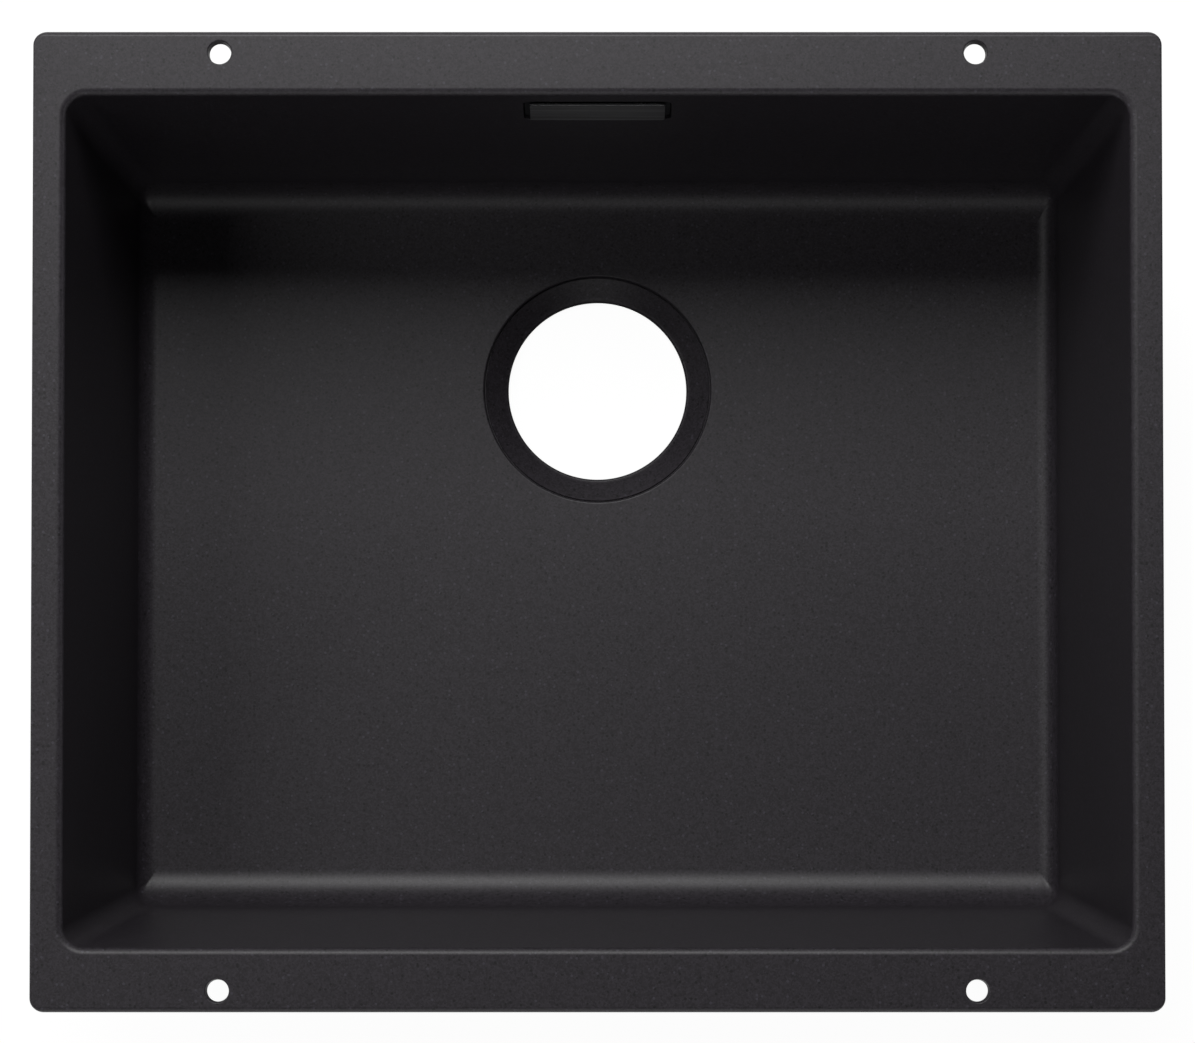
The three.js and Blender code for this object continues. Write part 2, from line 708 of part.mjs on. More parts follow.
const finish = (color, roughness, metalness) => new THREE.MeshStandardMaterial({ color, roughness, metalness });
const composite = finish("#48474a", 0.62, 0);
const brushedStainless = finish("#a9a9aa", 0.34, 1);
const springSteel = finish("#b4b4b2", 0.3, 1);
const blackMoulding = finish("#1d1e20", 0.55, 0);
const sealRubber = finish("#141414", 0.8, 0);
const brass = finish("#b8924a", 0.35, 1);

const sink = new THREE.Group();
sink.add(piece("sink_bowl", sinkBowl(), composite));
sink.add(piece("overflow_cover", overflowCover(), brushedStainless, wallFrame));
sink.add(piece("overflow_frame", overflowFrame(), blackMoulding, wallFrame));
sink.add(piece("frame_seal", frameSeal(), sealRubber, wallFrame));
sink.add(piece("wall_seal", wallSeal(), sealRubber, wallFrame));
sink.add(piece("overflow_body", overflowBody(), blackMoulding, wallFrame));
for (const [side, name] of [
  [-1, "left"],
  [1, "right"],
]) {
  sink.add(piece("cover_spring_" + name, coverSpring(side), springSteel, wallFrame));
  sink.add(piece("frame_screw_" + name, frameScrew(side), brushedStainless, wallFrame));
  sink.add(piece("thread_insert_" + name, threadInsert(side), brass, wallFrame));
}

export default sink;
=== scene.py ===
import math

import bmesh
import bpy
import numpy as np
from mathutils import Matrix, Vector


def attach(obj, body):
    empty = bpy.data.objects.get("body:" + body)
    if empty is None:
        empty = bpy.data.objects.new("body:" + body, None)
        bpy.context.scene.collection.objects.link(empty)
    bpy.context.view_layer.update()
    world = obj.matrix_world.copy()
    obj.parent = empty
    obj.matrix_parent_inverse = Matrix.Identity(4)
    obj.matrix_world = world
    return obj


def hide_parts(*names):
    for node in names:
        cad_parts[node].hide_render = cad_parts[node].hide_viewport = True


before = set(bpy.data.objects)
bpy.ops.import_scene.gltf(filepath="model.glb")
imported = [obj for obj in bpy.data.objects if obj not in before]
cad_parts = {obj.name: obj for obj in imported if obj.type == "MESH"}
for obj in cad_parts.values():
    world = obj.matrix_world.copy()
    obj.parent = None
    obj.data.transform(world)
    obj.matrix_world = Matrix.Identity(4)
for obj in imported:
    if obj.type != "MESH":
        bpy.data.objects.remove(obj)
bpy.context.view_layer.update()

# An undermount kitchen sink of dark quartz composite, with a pull-off overflow cover in its back wall.
# Sizes in the dictionaries are millimetres where no other unit is named. Every mesh is made in metres, round
# the middle of the rim's top.
mm = 0.001
weldDistance = 0.002 * mm


def linear(text):
    # an sRGB hex colour as the linear values that the shaders take
    parts = [int(text[i:i + 2], 16) / 255 for i in (1, 3, 5)]
    return tuple(p / 12.92 if p <= 0.04045 else ((p + 0.055) / 1.055) ** 2.4 for p in parts) + (1.0,)


def addNode(tree, kind, settings=None, links=None):
    # one node with its settings; links takes sockets to connect and plain values
    made = tree.nodes.new(kind)
    for name, value in (settings or {}).items():
        setattr(made, name, value)
    for socket, value in (links or {}).items():
        if isinstance(value, bpy.types.NodeSocket):
            tree.links.new(value, made.inputs[socket])
        else:
            made.inputs[socket].default_value = value
    return made


def mix(a, b, share):
    return a + (b - a) * share


def sweep(first, last, steps):
    return [mix(first, last, i / steps) for i in range(steps + 1)]


def arc(x, y, radius, first, last, steps=4, squash=1.0):
    # points on a rounding about (x, y), between two angles in quarter turns
    return [(x + radius * math.cos(turn * math.pi / 2), y + radius * squash * math.sin(turn * math.pi / 2))
            for turn in sweep(first, last, steps)]


def emptyMaterial(name):
    material = bpy.data.materials.new(name)
    material.use_nodes = True
    material.node_tree.nodes.clear()
    return material, material.node_tree


def newMaterial(name):
    material, tree = emptyMaterial(name)
    place = addNode(tree, "ShaderNodeTexCoord").outputs["Object"]
    shader = addNode(tree, "ShaderNodeBsdfPrincipled")
    addNode(tree, "ShaderNodeOutputMaterial", links={"Surface": shader.outputs[0]})
    return material, tree, place, shader


def dress(tree, shader, colour, pattern, look):
    # the colour, and a gloss and a fine relief that follow one pattern
    rough = addNode(tree, "ShaderNodeMapRange", links={
        "Value": pattern, "From Min": look["low"], "From Max": look["high"],
        "To Min": look["roughness"] - look["glossier"], "To Max": look["roughness"] + look["duller"],
    })
    bump = addNode(tree, "ShaderNodeBump", links={
        "Height": pattern, "Strength": look["relief"], "Distance": look["depth"] * mm,
    })
    tree.links.new(colour, shader.inputs["Base Color"])
    tree.links.new(rough.outputs[0], shader.inputs["Roughness"])
    tree.links.new(bump.outputs[0], shader.inputs["Normal"])


# Quartz composite: quartz sand bound in dark acrylic resin and cast in a mould. The sand shows as a fine
# even speckle with a few darker and paler grains, and its satin skin spreads the light into broad soft bands.
compositeLook = {
    "darkSand": "#272428", "paleSand": "#3b373d",
    "darkGrain": "#1c1b1d", "paleGrain": "#45424a",
    "sand": 0.8,  # real grains are 0.2 to 0.7 mm; drawn a little coarser so that they show
    "grain": 2.4, "grainSize": 0.27,  # the grid of the single grains, and their radius as a share of it
    "darkShare": 0.2, "paleShare": 0.12,
    "grit": 0.6,
    "roughness": 0.46, "glossier": 0.04, "duller": 0.04,
    "relief": 0.5, "depth": 0.012, "low": 0.3, "high": 0.7,
    "ior": 1.5,
}


def compositeMaterial():
    look = compositeLook
    material, tree, place, shader = newMaterial("quartz composite")
    sand = addNode(tree, "ShaderNodeTexVoronoi", {"feature": "F1"},
                   {"Vector": place, "Scale": 1 / (look["sand"] * mm)})
    tone = addNode(tree, "ShaderNodeSeparateColor", links={"Color": sand.outputs["Color"]})
    colour = addNode(tree, "ShaderNodeMix", {"data_type": "RGBA"}, {
        "Factor": tone.outputs[0], 6: linear(look["darkSand"]), 7: linear(look["paleSand"])}).outputs[2]
    grains = addNode(tree, "ShaderNodeTexVoronoi", {"feature": "F1"},
                     {"Vector": place, "Scale": 1 / (look["grain"] * mm)})
    pick = addNode(tree, "ShaderNodeSeparateColor", links={"Color": grains.outputs["Color"]})
    inGrain = addNode(tree, "ShaderNodeMath", {"operation": "LESS_THAN"},
                      {0: grains.outputs["Distance"], 1: look["grainSize"]})
    for operation, limit, tint in (("LESS_THAN", look["darkShare"], "darkGrain"),
                                   ("GREATER_THAN", 1 - look["paleShare"], "paleGrain")):
        chosen = addNode(tree, "ShaderNodeMath", {"operation": operation}, {0: pick.outputs[0], 1: limit})
        mask = addNode(tree, "ShaderNodeMath", {"operation": "MULTIPLY"},
                       {0: inGrain.outputs[0], 1: chosen.outputs[0]})
        colour = addNode(tree, "ShaderNodeMix", {"data_type": "RGBA"}, {
            "Factor": mask.outputs[0], 6: colour, 7: linear(look[tint])}).outputs[2]
    grit = addNode(tree, "ShaderNodeTexNoise", links={
        "Vector": place, "Scale": 1 / (look["grit"] * mm), "Detail": 2.0, "Roughness": 0.6})
    dress(tree, shader, colour, grit.outputs[0], look)
    shader.inputs["IOR"].default_value = look["ior"]
    return material


# Stainless steel plate, brushed along its length: fine parallel scratches that draw highlights out sideways.
stainlessLook = {
    "base": "#d2d3d4", "shade": "#858687",
    "lineWidth": 1.6,  # real scratches are about 0.1 mm wide; drawn coarser so that they show
    "lineLength": 180.0,
    "roughness": 0.4, "glossier": 0.06, "duller": 0.08,
    "relief": 0.25, "depth": 0.01, "low": 0.35, "high": 0.65,
}


def stainlessMaterial():
    look = stainlessLook
    material, tree, place, shader = newMaterial("brushed stainless steel")
    across = 1 / (look["lineWidth"] * mm)
    stretch = addNode(tree, "ShaderNodeMapping", links={
        "Vector": place, "Scale": (1 / (look["lineLength"] * mm), across, across)})
    lines = addNode(tree, "ShaderNodeTexNoise", links={
        "Vector": stretch.outputs[0], "Scale": 1.0, "Detail": 5.0, "Roughness": 0.8})
    streak = addNode(tree, "ShaderNodeMapRange", links={
        "Value": lines.outputs[0], "From Min": look["low"], "From Max": look["high"]})
    colour = addNode(tree, "ShaderNodeMix", {"data_type": "RGBA"}, {
        "Factor": streak.outputs[0], 6: linear(look["shade"]), 7: linear(look["base"])})
    dress(tree, shader, colour.outputs[2], lines.outputs[0], look)
    shader.inputs["Metallic"].default_value = 1.0
    return material


# The other finishes vary a little in colour, gloss and surface with one noise. The columns are the base and
# the shade, the noise's grain in millimetres, roughness, metallic and the depth of the relief in millimetres.
plainLooks = {
    # sheared through, so greyer and duller than the brushed face
    "cut stainless edge": ("#7d7d7f", "#68686a", 0.4, 0.6, 1.0, 0.006),
    # bright from the rolls, with small clear highlights along its bends
    "rolled spring steel": ("#c0c0be", "#a4a4a2", 1.5, 0.26, 1.0, 0.004),
    # a satin sheen on the head and bright crests on the thread
    "turned stainless screw steel": ("#b5b5b5", "#9a9a9b", 0.8, 0.34, 1.0, 0.004),
    # black, with the low waxy sheen that a lightly textured mould leaves
    "moulded polypropylene": ("#232426", "#1a1b1d", 0.7, 0.52, 0.0, 0.015),
    # a matt black that hardly mirrors anything
    "moulded EPDM rubber": ("#1b1b1b", "#141414", 0.5, 0.78, 0.0, 0.02),
    # warm yellow, bright on the knurl
    "turned brass": ("#cba35a", "#b08742", 0.6, 0.3, 1.0, 0.004),
}


def plainMaterial(name):
    base, shade, grain, roughness, metallic, depth = plainLooks[name]
    material, tree, place, shader = newMaterial(name)
    noise = addNode(tree, "ShaderNodeTexNoise", links={
        "Vector": place, "Scale": 1 / (grain * mm), "Detail": 3.0, "Roughness": 0.6})
    colour = addNode(tree, "ShaderNodeMix", {"data_type": "RGBA"}, {
        "Factor": noise.outputs[0], 6: linear(shade), 7: linear(base)})
    dress(tree, shader, colour.outputs[2], noise.outputs[0], {
        "roughness": roughness, "glossier": 0.05, "duller": 0.05, "relief": 0.3, "depth": depth,
        "low": 0.3, "high": 0.7,
    })
    shader.inputs["Metallic"].default_value = metallic
    return material


composite = compositeMaterial()
stainless = stainlessMaterial()
cutEdge = plainMaterial("cut stainless edge")
springSteel = plainMaterial("rolled spring steel")
screwSteel = plainMaterial("turned stainless screw steel")
moulding = plainMaterial("moulded polypropylene")
rubber = plainMaterial("moulded EPDM rubber")
brass = plainMaterial("turned brass")
print("materials made")


def newTree(name, sizes):
    # a tree for a Geometry Nodes modifier, with named inputs for its sizes
    tree = bpy.data.node_groups.new(name, "GeometryNodeTree")
    sockets = {"Geometry": "Geometry", **sizes, "Material": "Material"}
    for label, kind in sockets.items():
        tree.interface.new_socket(label, in_out="INPUT", socket_type="NodeSocket" + kind)
    tree.interface.new_socket("Geometry", in_out="OUTPUT", socket_type="NodeSocketGeometry")
    return tree, addNode(tree, "NodeGroupInput").outputs


def endTree(tree, geometry, material):
    real = addNode(tree, "GeometryNodeRealizeInstances", links={"Geometry": geometry})
    finished = addNode(tree, "GeometryNodeSetMaterial",
                       links={"Geometry": real.outputs[0], "Material": material})
    addNode(tree, "NodeGroupOutput", links={"Geometry": finished.outputs[0]})
    return tree


# The loft's sums: each has its own name, an operation and the names or plain numbers that go into it.
ringSums = [
    # the ring of a grid point, and its place in that ring: a quarter has a corner and then a side
    ("perQuarter", "ADD", "Corner Steps", "Side Steps"),
    ("columns", "MULTIPLY", "perQuarter", 4),
    ("gridColumns", "ADD", "columns", 1),
    ("rows", "ADD", "rings", "Closes"),
    ("columnShare", "DIVIDE", "index", "rows"),
    ("columnNumber", "FLOOR", "columnShare"),
    ("column", "FLOORED_MODULO", "columnNumber", "columns"),
    ("row", "FLOORED_MODULO", "index", "rows"),
    ("ring", "FLOORED_MODULO", "row", "rings"),
    ("columnMiddle", "ADD", "column", 0.5),
    ("quarterShare", "DIVIDE", "columnMiddle", "perQuarter"),
    ("quarter", "FLOOR", "quarterShare"),
    ("quarterStart", "MULTIPLY", "quarter", "perQuarter"),
    ("within", "SUBTRACT", "column", "quarterStart"),
    ("cornerShare", "DIVIDE", "within", "Corner Steps"),
    ("turned", "MINIMUM", "cornerShare", 1),
    ("pastCorner", "SUBTRACT", "within", "Corner Steps"),
    ("sideStep", "MAXIMUM", "pastCorner", 0),
    ("along", "DIVIDE", "sideStep", "Side Steps"),
    ("turns", "ADD", "quarter", "turned"),
    ("angle", "MULTIPLY", "turns", math.pi / 2),
    ("cornerAngle", "MULTIPLY_ADD", "quarter", math.pi / 2, math.pi / 4),
    ("nextAngle", "ADD", "cornerAngle", math.pi / 2),
    ("flatX", "SUBTRACT", "halfX", "corner"),
    ("flatY", "SUBTRACT", "halfY", "corner"),
    # the circle's radius with its grooves
    ("halfCorner", "MULTIPLY", "Corner Steps", 0.5),
    ("fromCorner", "SUBTRACT", "column", "halfCorner"),
    ("share", "DIVIDE", "fromCorner", "columns"),
    ("around", "MULTIPLY_ADD", "share", 2 * math.pi, math.pi / 4),
    ("grooveTurns", "MULTIPLY", "share", "Grooves"),
    ("climbTurns", "MULTIPLY", "sideZ", "Groove Climb"),
    ("phase", "SUBTRACT", "grooveTurns", "climbTurns"),
    ("zigzag", "PINGPONG", "phase", 0.5),
    ("wave", "MULTIPLY", "zigzag", 2),
    ("cut", "MULTIPLY", "groove", "wave"),
    ("grooved", "SUBTRACT", "radius", "cut"),
    # a height that differs between the sides and the front and back
    ("sine", "SINE", "angle"),
    ("sineSquared", "MULTIPLY", "sine", "sine"),
    ("rise", "SUBTRACT", "longZ", "sideZ"),
    ("level", "MULTIPLY_ADD", "rise", "sineSquared", "sideZ"),
]
# arrows from the middle or from a corner's centre, with their angle and length
ringArrows = {"here": ("cornerAngle", math.sqrt(2)), "next": ("nextAngle", math.sqrt(2)),
              "corner": ("angle", "corner"), "circle": ("around", "grooved")}
for name, (turn, length) in ringArrows.items():
    ringSums += [(name + "Cosine", "COSINE", turn), (name + "X", "MULTIPLY", name + "Cosine", length),
                 (name + "Sine", "SINE", turn), (name + "Y", "MULTIPLY", name + "Sine", length)]
# the attributes that hold a ring's values
ringAttributes = {"ringSize": ("halfX", "halfY", "corner"), "ringPlace": ("sideZ", "longZ", "centreY"),
                  "ringCircle": ("radius", "roundness", "groove")}


def loftTree():
    # Joins rounded rectangles and circles into one closed skin. Each point of the incoming mesh is one ring,
    # with its sizes as attributes. The tree lays a grid over all the rings and sets every grid point on its
    # rounded rectangle, or on a circle where the ring is round. A circle can be cut by grooves: straight ones
    # make a knurl, and one that climbs makes a screw thread.
    sizes = {"Corner Steps": "Int", "Side Steps": "Int", "Closes": "Int", "Grooves": "Int",
             "Groove Climb": "Float"}
    tree, inputs = newTree("ring loft", sizes)
    value = {name: inputs[name] for name in sizes}
    value["index"] = addNode(tree, "GeometryNodeInputIndex").outputs[0]
    value["rings"] = addNode(tree, "GeometryNodeAttributeDomainSize", {"component": "MESH"},
                             {"Geometry": inputs["Geometry"]}).outputs["Point Count"]
    samples = []
    for label, names in ringAttributes.items():
        named = addNode(tree, "GeometryNodeInputNamedAttribute", {"data_type": "FLOAT_VECTOR"},
                        {"Name": label})
        found = addNode(tree, "GeometryNodeSampleIndex", {"data_type": "FLOAT_VECTOR", "domain": "POINT"},
                        {"Geometry": inputs["Geometry"], "Value": named.outputs[0]})
        parts = addNode(tree, "ShaderNodeSeparateXYZ", links={0: found.outputs[0]})
        value.update(zip(names, parts.outputs))
        samples.append(found)
    for name, operation, *terms in ringSums:
        links = {i: value.get(term, term) for i, term in enumerate(terms)}
        value[name] = addNode(tree, "ShaderNodeMath", {"operation": operation}, links).outputs[0]
    for found in samples:
        tree.links.new(value["ring"], found.inputs["Index"])  # known only after the sums
    arrows = {}
    for name in ringArrows:
        links = {"X": value[name + "X"], "Y": value[name + "Y"]}
        arrows[name] = addNode(tree, "ShaderNodeCombineXYZ", links=links).outputs[0]
    cornerSign = addNode(tree, "ShaderNodeMix", {"data_type": "VECTOR"},
                         {"Factor": value["along"], 4: arrows["here"], 5: arrows["next"]}).outputs[1]
    flat = addNode(tree, "ShaderNodeCombineXYZ", links={"X": value["flatX"], "Y": value["flatY"]}).outputs[0]
    outline = addNode(tree, "ShaderNodeVectorMath", {"operation": "MULTIPLY_ADD"},
                      {0: cornerSign, 1: flat, 2: arrows["corner"]}).outputs[0]
    shift = addNode(tree, "ShaderNodeCombineXYZ", links={"Y": value["centreY"]}).outputs[0]
    circle = addNode(tree, "ShaderNodeVectorMath", {"operation": "ADD"},
                     {0: arrows["circle"], 1: shift}).outputs[0]
    shape = addNode(tree, "ShaderNodeMix", {"data_type": "VECTOR"},
                    {"Factor": value["roundness"], 4: outline, 5: circle}).outputs[1]
    height = addNode(tree, "ShaderNodeCombineXYZ", links={"Z": value["level"]}).outputs[0]
    position = addNode(tree, "ShaderNodeVectorMath", {"operation": "ADD"}, {0: shape, 1: height})
    grid = addNode(tree, "GeometryNodeMeshGrid",
                   links={"Vertices X": value["gridColumns"], "Vertices Y": value["rows"]})
    placed = addNode(tree, "GeometryNodeSetPosition",
                     links={"Geometry": grid.outputs[0], "Position": position.outputs[0]})
    merged = addNode(tree, "GeometryNodeMergeByDistance",
                     links={"Geometry": placed.outputs[0], "Distance": weldDistance})
    smooth = addNode(tree, "GeometryNodeSetShadeSmooth", links={"Geometry": merged.outputs[0]})
    return endTree(tree, smooth.outputs[0], inputs["Material"])


loftGroup = loftTree()


def ring(halfX, halfY, corner, sideZ, longZ=None, radius=0.0, roundness=0.0, centreY=0.0, groove=0.0):
    # one ring's values, as the loft reads them
    place = (sideZ, sideZ if longZ is None else longZ, centreY)
    return (halfX, halfY, corner), place, (radius, roundness, groove)


def grown(outline, by):
    return outline[0] + by, outline[1] + by, max(outline[2] + by, 0.1)


def shrunkRings(outline, points):
    # rings of an outline drawn in by each point's first value, at the height of its second
    return [ring(*grown(outline, -inward), z) for inward, z in points]


def setInputs(modifier, values):
    # a modifier's inputs go by their sockets' identifiers
    for item in modifier.node_group.interface.items_tree:
        if item.in_out == "INPUT" and item.name in values:
            modifier[item.identifier] = values[item.name]


def addObject(name, data):
    made = bpy.data.objects.new(name, data)
    bpy.context.scene.collection.objects.link(made)
    return made


def plainMesh(obj, name):
    # the evaluated object as a new object with a plain mesh and no modifiers
    depsgraph = bpy.context.evaluated_depsgraph_get()
    mesh = bpy.data.meshes.new_from_object(obj.evaluated_get(depsgraph))
    bpy.data.objects.remove(obj)
    mesh.name = name
    return addObject(name, mesh)


def pointOut(work):
    bmesh.ops.recalc_face_normals(work, faces=work.faces)
    if work.calc_volume(signed=True) < 0:
        bmesh.ops.reverse_faces(work, faces=work.faces)


def fromTree(name, mesh, tree, values):
    # the mesh run through a node tree, as a plain mesh with its faces pointing out
    start = addObject(name + " start", mesh)
    modifier = start.modifiers.new("tree", "NODES")
    modifier.node_group = tree
    setInputs(modifier, values)
    made = plainMesh(start, name)
    if made.data.materials[0] is None:
        made.data.materials.pop(index=0)  # a grid brings an empty slot along
    work = bmesh.new()
    work.from_mesh(made.data)
    pointOut(work)
    work.to_mesh(made.data)
    work.free()
    return made


def loft(name, rings, material, cornerSteps=8, sideSteps=2, closes=True, grooves=0, climb=0.0):
    mesh = bpy.data.meshes.new(name + " rings")
    mesh.from_pydata([(0, 0, 0)] * len(rings), [], [])
    for column, label in enumerate(ringAttributes):
        scale = (mm, 1, mm) if label == "ringCircle" else (mm, mm, mm)  # roundness is a share
        values = np.array([values[column] for values in rings]) * np.array(scale)
        attribute = mesh.attributes.new(label, "FLOAT_VECTOR", "POINT")
        attribute.data.foreach_set("vector", values.astype(np.float32).ravel())
    return fromTree(name, mesh, loftGroup, {
        "Corner Steps": cornerSteps, "Side Steps": sideSteps, "Closes": int(closes),
        "Grooves": grooves, "Groove Climb": climb, "Material": material,
    })


def turned(name, profile, material, sides=48, grooves=0, climb=0.0):
    # a body of revolution from points of radius, height and perhaps groove, from axis to axis or closed
    rings = []
    for radius, height, *groove in profile:
        rings.append(ring(0, 0, 0, height, radius=radius, roundness=1.0, groove=groove[0] if groove else 0.0))
    return loft(name, rings, material, sides // 4 - 1, 1, profile[0][0] > 0, grooves, climb)


def skinned(name, rings, material, wraps=True):
    # rings of listed points joined into one skin; one that doesn't wrap is closed at both ends
    work = bmesh.new()
    loops = [[work.verts.new(point * mm) for point in points] for points in rings]
    sides = len(loops[0])
    for here, there in zip(loops, loops[1:] + (loops[:1] if wraps else [])):
        for i in range(sides):
            j = (i + 1) % sides
            work.faces.new((here[i], here[j], there[j], there[i]))
    if not wraps:
        work.faces.new(loops[0])
        work.faces.new(loops[-1])
    bmesh.ops.remove_doubles(work, verts=work.verts, dist=weldDistance)
    pointOut(work)
    mesh = bpy.data.meshes.new(name)
    work.to_mesh(mesh)
    work.free()
    mesh.materials.append(material)
    return addObject(name, mesh)


def combine(obj, added=(), removed=()):
    # joins and then cuts with the given objects, which are used up
    for operation, tools in (("UNION", added), ("DIFFERENCE", removed)):
        for tool in tools:
            modifier = obj.modifiers.new(tool.name, "BOOLEAN")
            modifier.operation = operation
            modifier.solver = "EXACT"
            modifier.object = tool
    made = plainMesh(obj, obj.name)
    for tool in (*added, *removed):
        bpy.data.objects.remove(tool)
    work = bmesh.new()
    work.from_mesh(made.data)
    bmesh.ops.remove_doubles(work, verts=work.verts, dist=weldDistance)
    work.to_mesh(made.data)
    work.free()
    return made


def finishShading(obj, crease=35):
    # smooth faces with edges past the crease angle kept sharp, and flat faces flat beside rounded edges
    mesh = obj.data
    mesh.polygons.foreach_set("use_smooth", [True] * len(mesh.polygons))
    mesh.set_sharp_from_angle(angle=math.radians(crease))
    modifier = obj.modifiers.new("weights", "WEIGHTED_NORMAL")
    modifier.mode = "FACE_AREA"
    modifier.weight = 60
    modifier.keep_sharp = True
    return plainMesh(obj, obj.name)


def handOver(obj, body, node):
    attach(obj, body)
    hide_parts(node)


bowl = {
    "width": 500.0, "depth": 400.0, "height": 190.0,
    "rimSide": 15.0, "rimLong": 30.0, "rimThickness": 8.0, "rimCorner": 6.5,
    "rimSideEdge": 0.8, "rimLongEdge": 2.5, "rimUnderEdge": 1.0, "rimRoot": 4.0,
    "floorFall": 1.5, "draft": 20.0, "wall": 8.0, "floor": 8.5,
    "mouthEdge": 3.8, "wallCorner": 10.0, "sideFillet": 10.0, "longFillet": 19.0, "floorCorner": 1.2,
}
drain = {
    "offset": 79.0, "hole": 90.0, "recess": 116.0, "edge": 1.0, "step": 2.0, "seatFall": 7.0, "land": 1.3,
    "groove": 0.7, "grooveDepth": 0.9, "grooveBend": 0.2, "grooveEdge": 0.15, "seatShares": (0.1, 0.5, 0.9),
    "depth": 14.5, "boss": 134.0, "flare": 6.0, "bossEdge": 1.0, "lowerEdge": 0.5,
}
rimHoles = {"spacingX": 355.0, "inset": 10.0, "top": 11.0, "bottom": 10.2, "edge": 0.6}
fineness = {"corner": 10, "side": 30, "fillet": 14, "edge": 5, "floor": 12, "wall": 6}

slope = bowl["draft"] / bowl["height"]
draftAngle = math.atan(slope)
floorEdgeZ = -bowl["height"] + bowl["floorFall"]


def wallOutline(z, offset=0.0):
    # half the width and depth and the corner radius at a height, on the wall's inner face or outside it
    out = z * slope + offset / math.cos(draftAngle)
    return bowl["width"] / 2 + out, bowl["depth"] / 2 + out, bowl["wallCorner"] + offset


def filletRings(offset, floorZ):
    # from the wall down to the floor; the side fillets are tighter than the front and back ones
    sideRadius = bowl["sideFillet"] + offset
    longRadius = bowl["longFillet"] + offset
    sideCentreZ = floorZ + sideRadius
    longCentreZ = floorZ + longRadius
    sideCentre = wallOutline(sideCentreZ, offset - sideRadius)[0]
    longCentre = wallOutline(longCentreZ, offset - longRadius)[1]
    rings = []
    for angle in sweep(draftAngle, math.pi / 2, fineness["fillet"]):
        out, down = math.cos(angle), math.sin(angle)
        corner = mix(bowl["wallCorner"] + offset, bowl["floorCorner"] + offset / 2, down ** 2)
        rings.append(ring(sideCentre + sideRadius * out, longCentre + longRadius * out, corner,
                          sideCentreZ - sideRadius * down, longCentreZ - longRadius * down))
    return rings


def between(first, last, steps):
    # rings at even shares from one ring to another, without the two ends
    return [mix(np.array(first), np.array(last), share) for share in sweep(0, 1, steps)[1:-1]]


def floorRings(outline, circle, edgeZ, middleZ):
    # from the floor's outline to a circle round the drain, without the two ends
    made = []
    for share in sweep(0, 1, fineness["floor"])[1:-1]:
        z = mix(edgeZ, middleZ, share)
        made.append((outline[0], (z, z, drain["offset"]), (circle[2][0], share, 0.0)))
    return made


def drainRings(top):
    # from the floor over the recess, the seat and the hole, and back out under the clamp face
    steps = fineness["edge"]
    recess, hole, boss = drain["recess"] / 2, drain["hole"] / 2, drain["boss"] / 2
    edge, land, lower, bossEdge = drain["edge"], drain["land"], drain["lowerEdge"], drain["bossEdge"]
    wide = drain["flare"]
    foot = top - drain["step"]
    seat = foot - drain["seatFall"]
    bottom = top - drain["depth"]
    profile = arc(recess, top - edge, edge, 1, 2, steps)
    # a fine groove runs round the foot of the step
    outer, deep = recess - edge, foot - drain["grooveDepth"]
    inner, bend, ease = outer - drain["groove"], drain["grooveBend"], drain["grooveEdge"]
    profile += [(outer, foot), (outer, deep + bend), (outer - bend, deep), (inner + bend, deep),
                (inner, deep + bend), (inner, foot - ease), (inner - ease, foot)]
    landEdge = arc(hole + land, seat - land, land, 1, 2, steps)
    for share in drain["seatShares"]:
        profile.append((mix(inner - ease, landEdge[0][0], share), mix(foot, landEdge[0][1], share)))
    underEdge = arc(hole + lower, bottom + lower, lower, 2, 3, steps=3)
    outerEdge = arc(boss - bossEdge, bottom + bossEdge, bossEdge, -1, 0)
    flare = arc(boss + wide, top - bowl["floor"] - wide / 2, wide, 2, 1, steps=5, squash=0.5)
    profile += landEdge + [(hole, mix(seat, bottom, 0.5))] + underEdge
    profile += [(mix(underEdge[-1][0], outerEdge[0][0], 0.5), bottom)] + outerEdge + flare
    return [ring(0, 0, 0, z, radius=r, roundness=1.0, centreY=drain["offset"]) for r, z in profile]


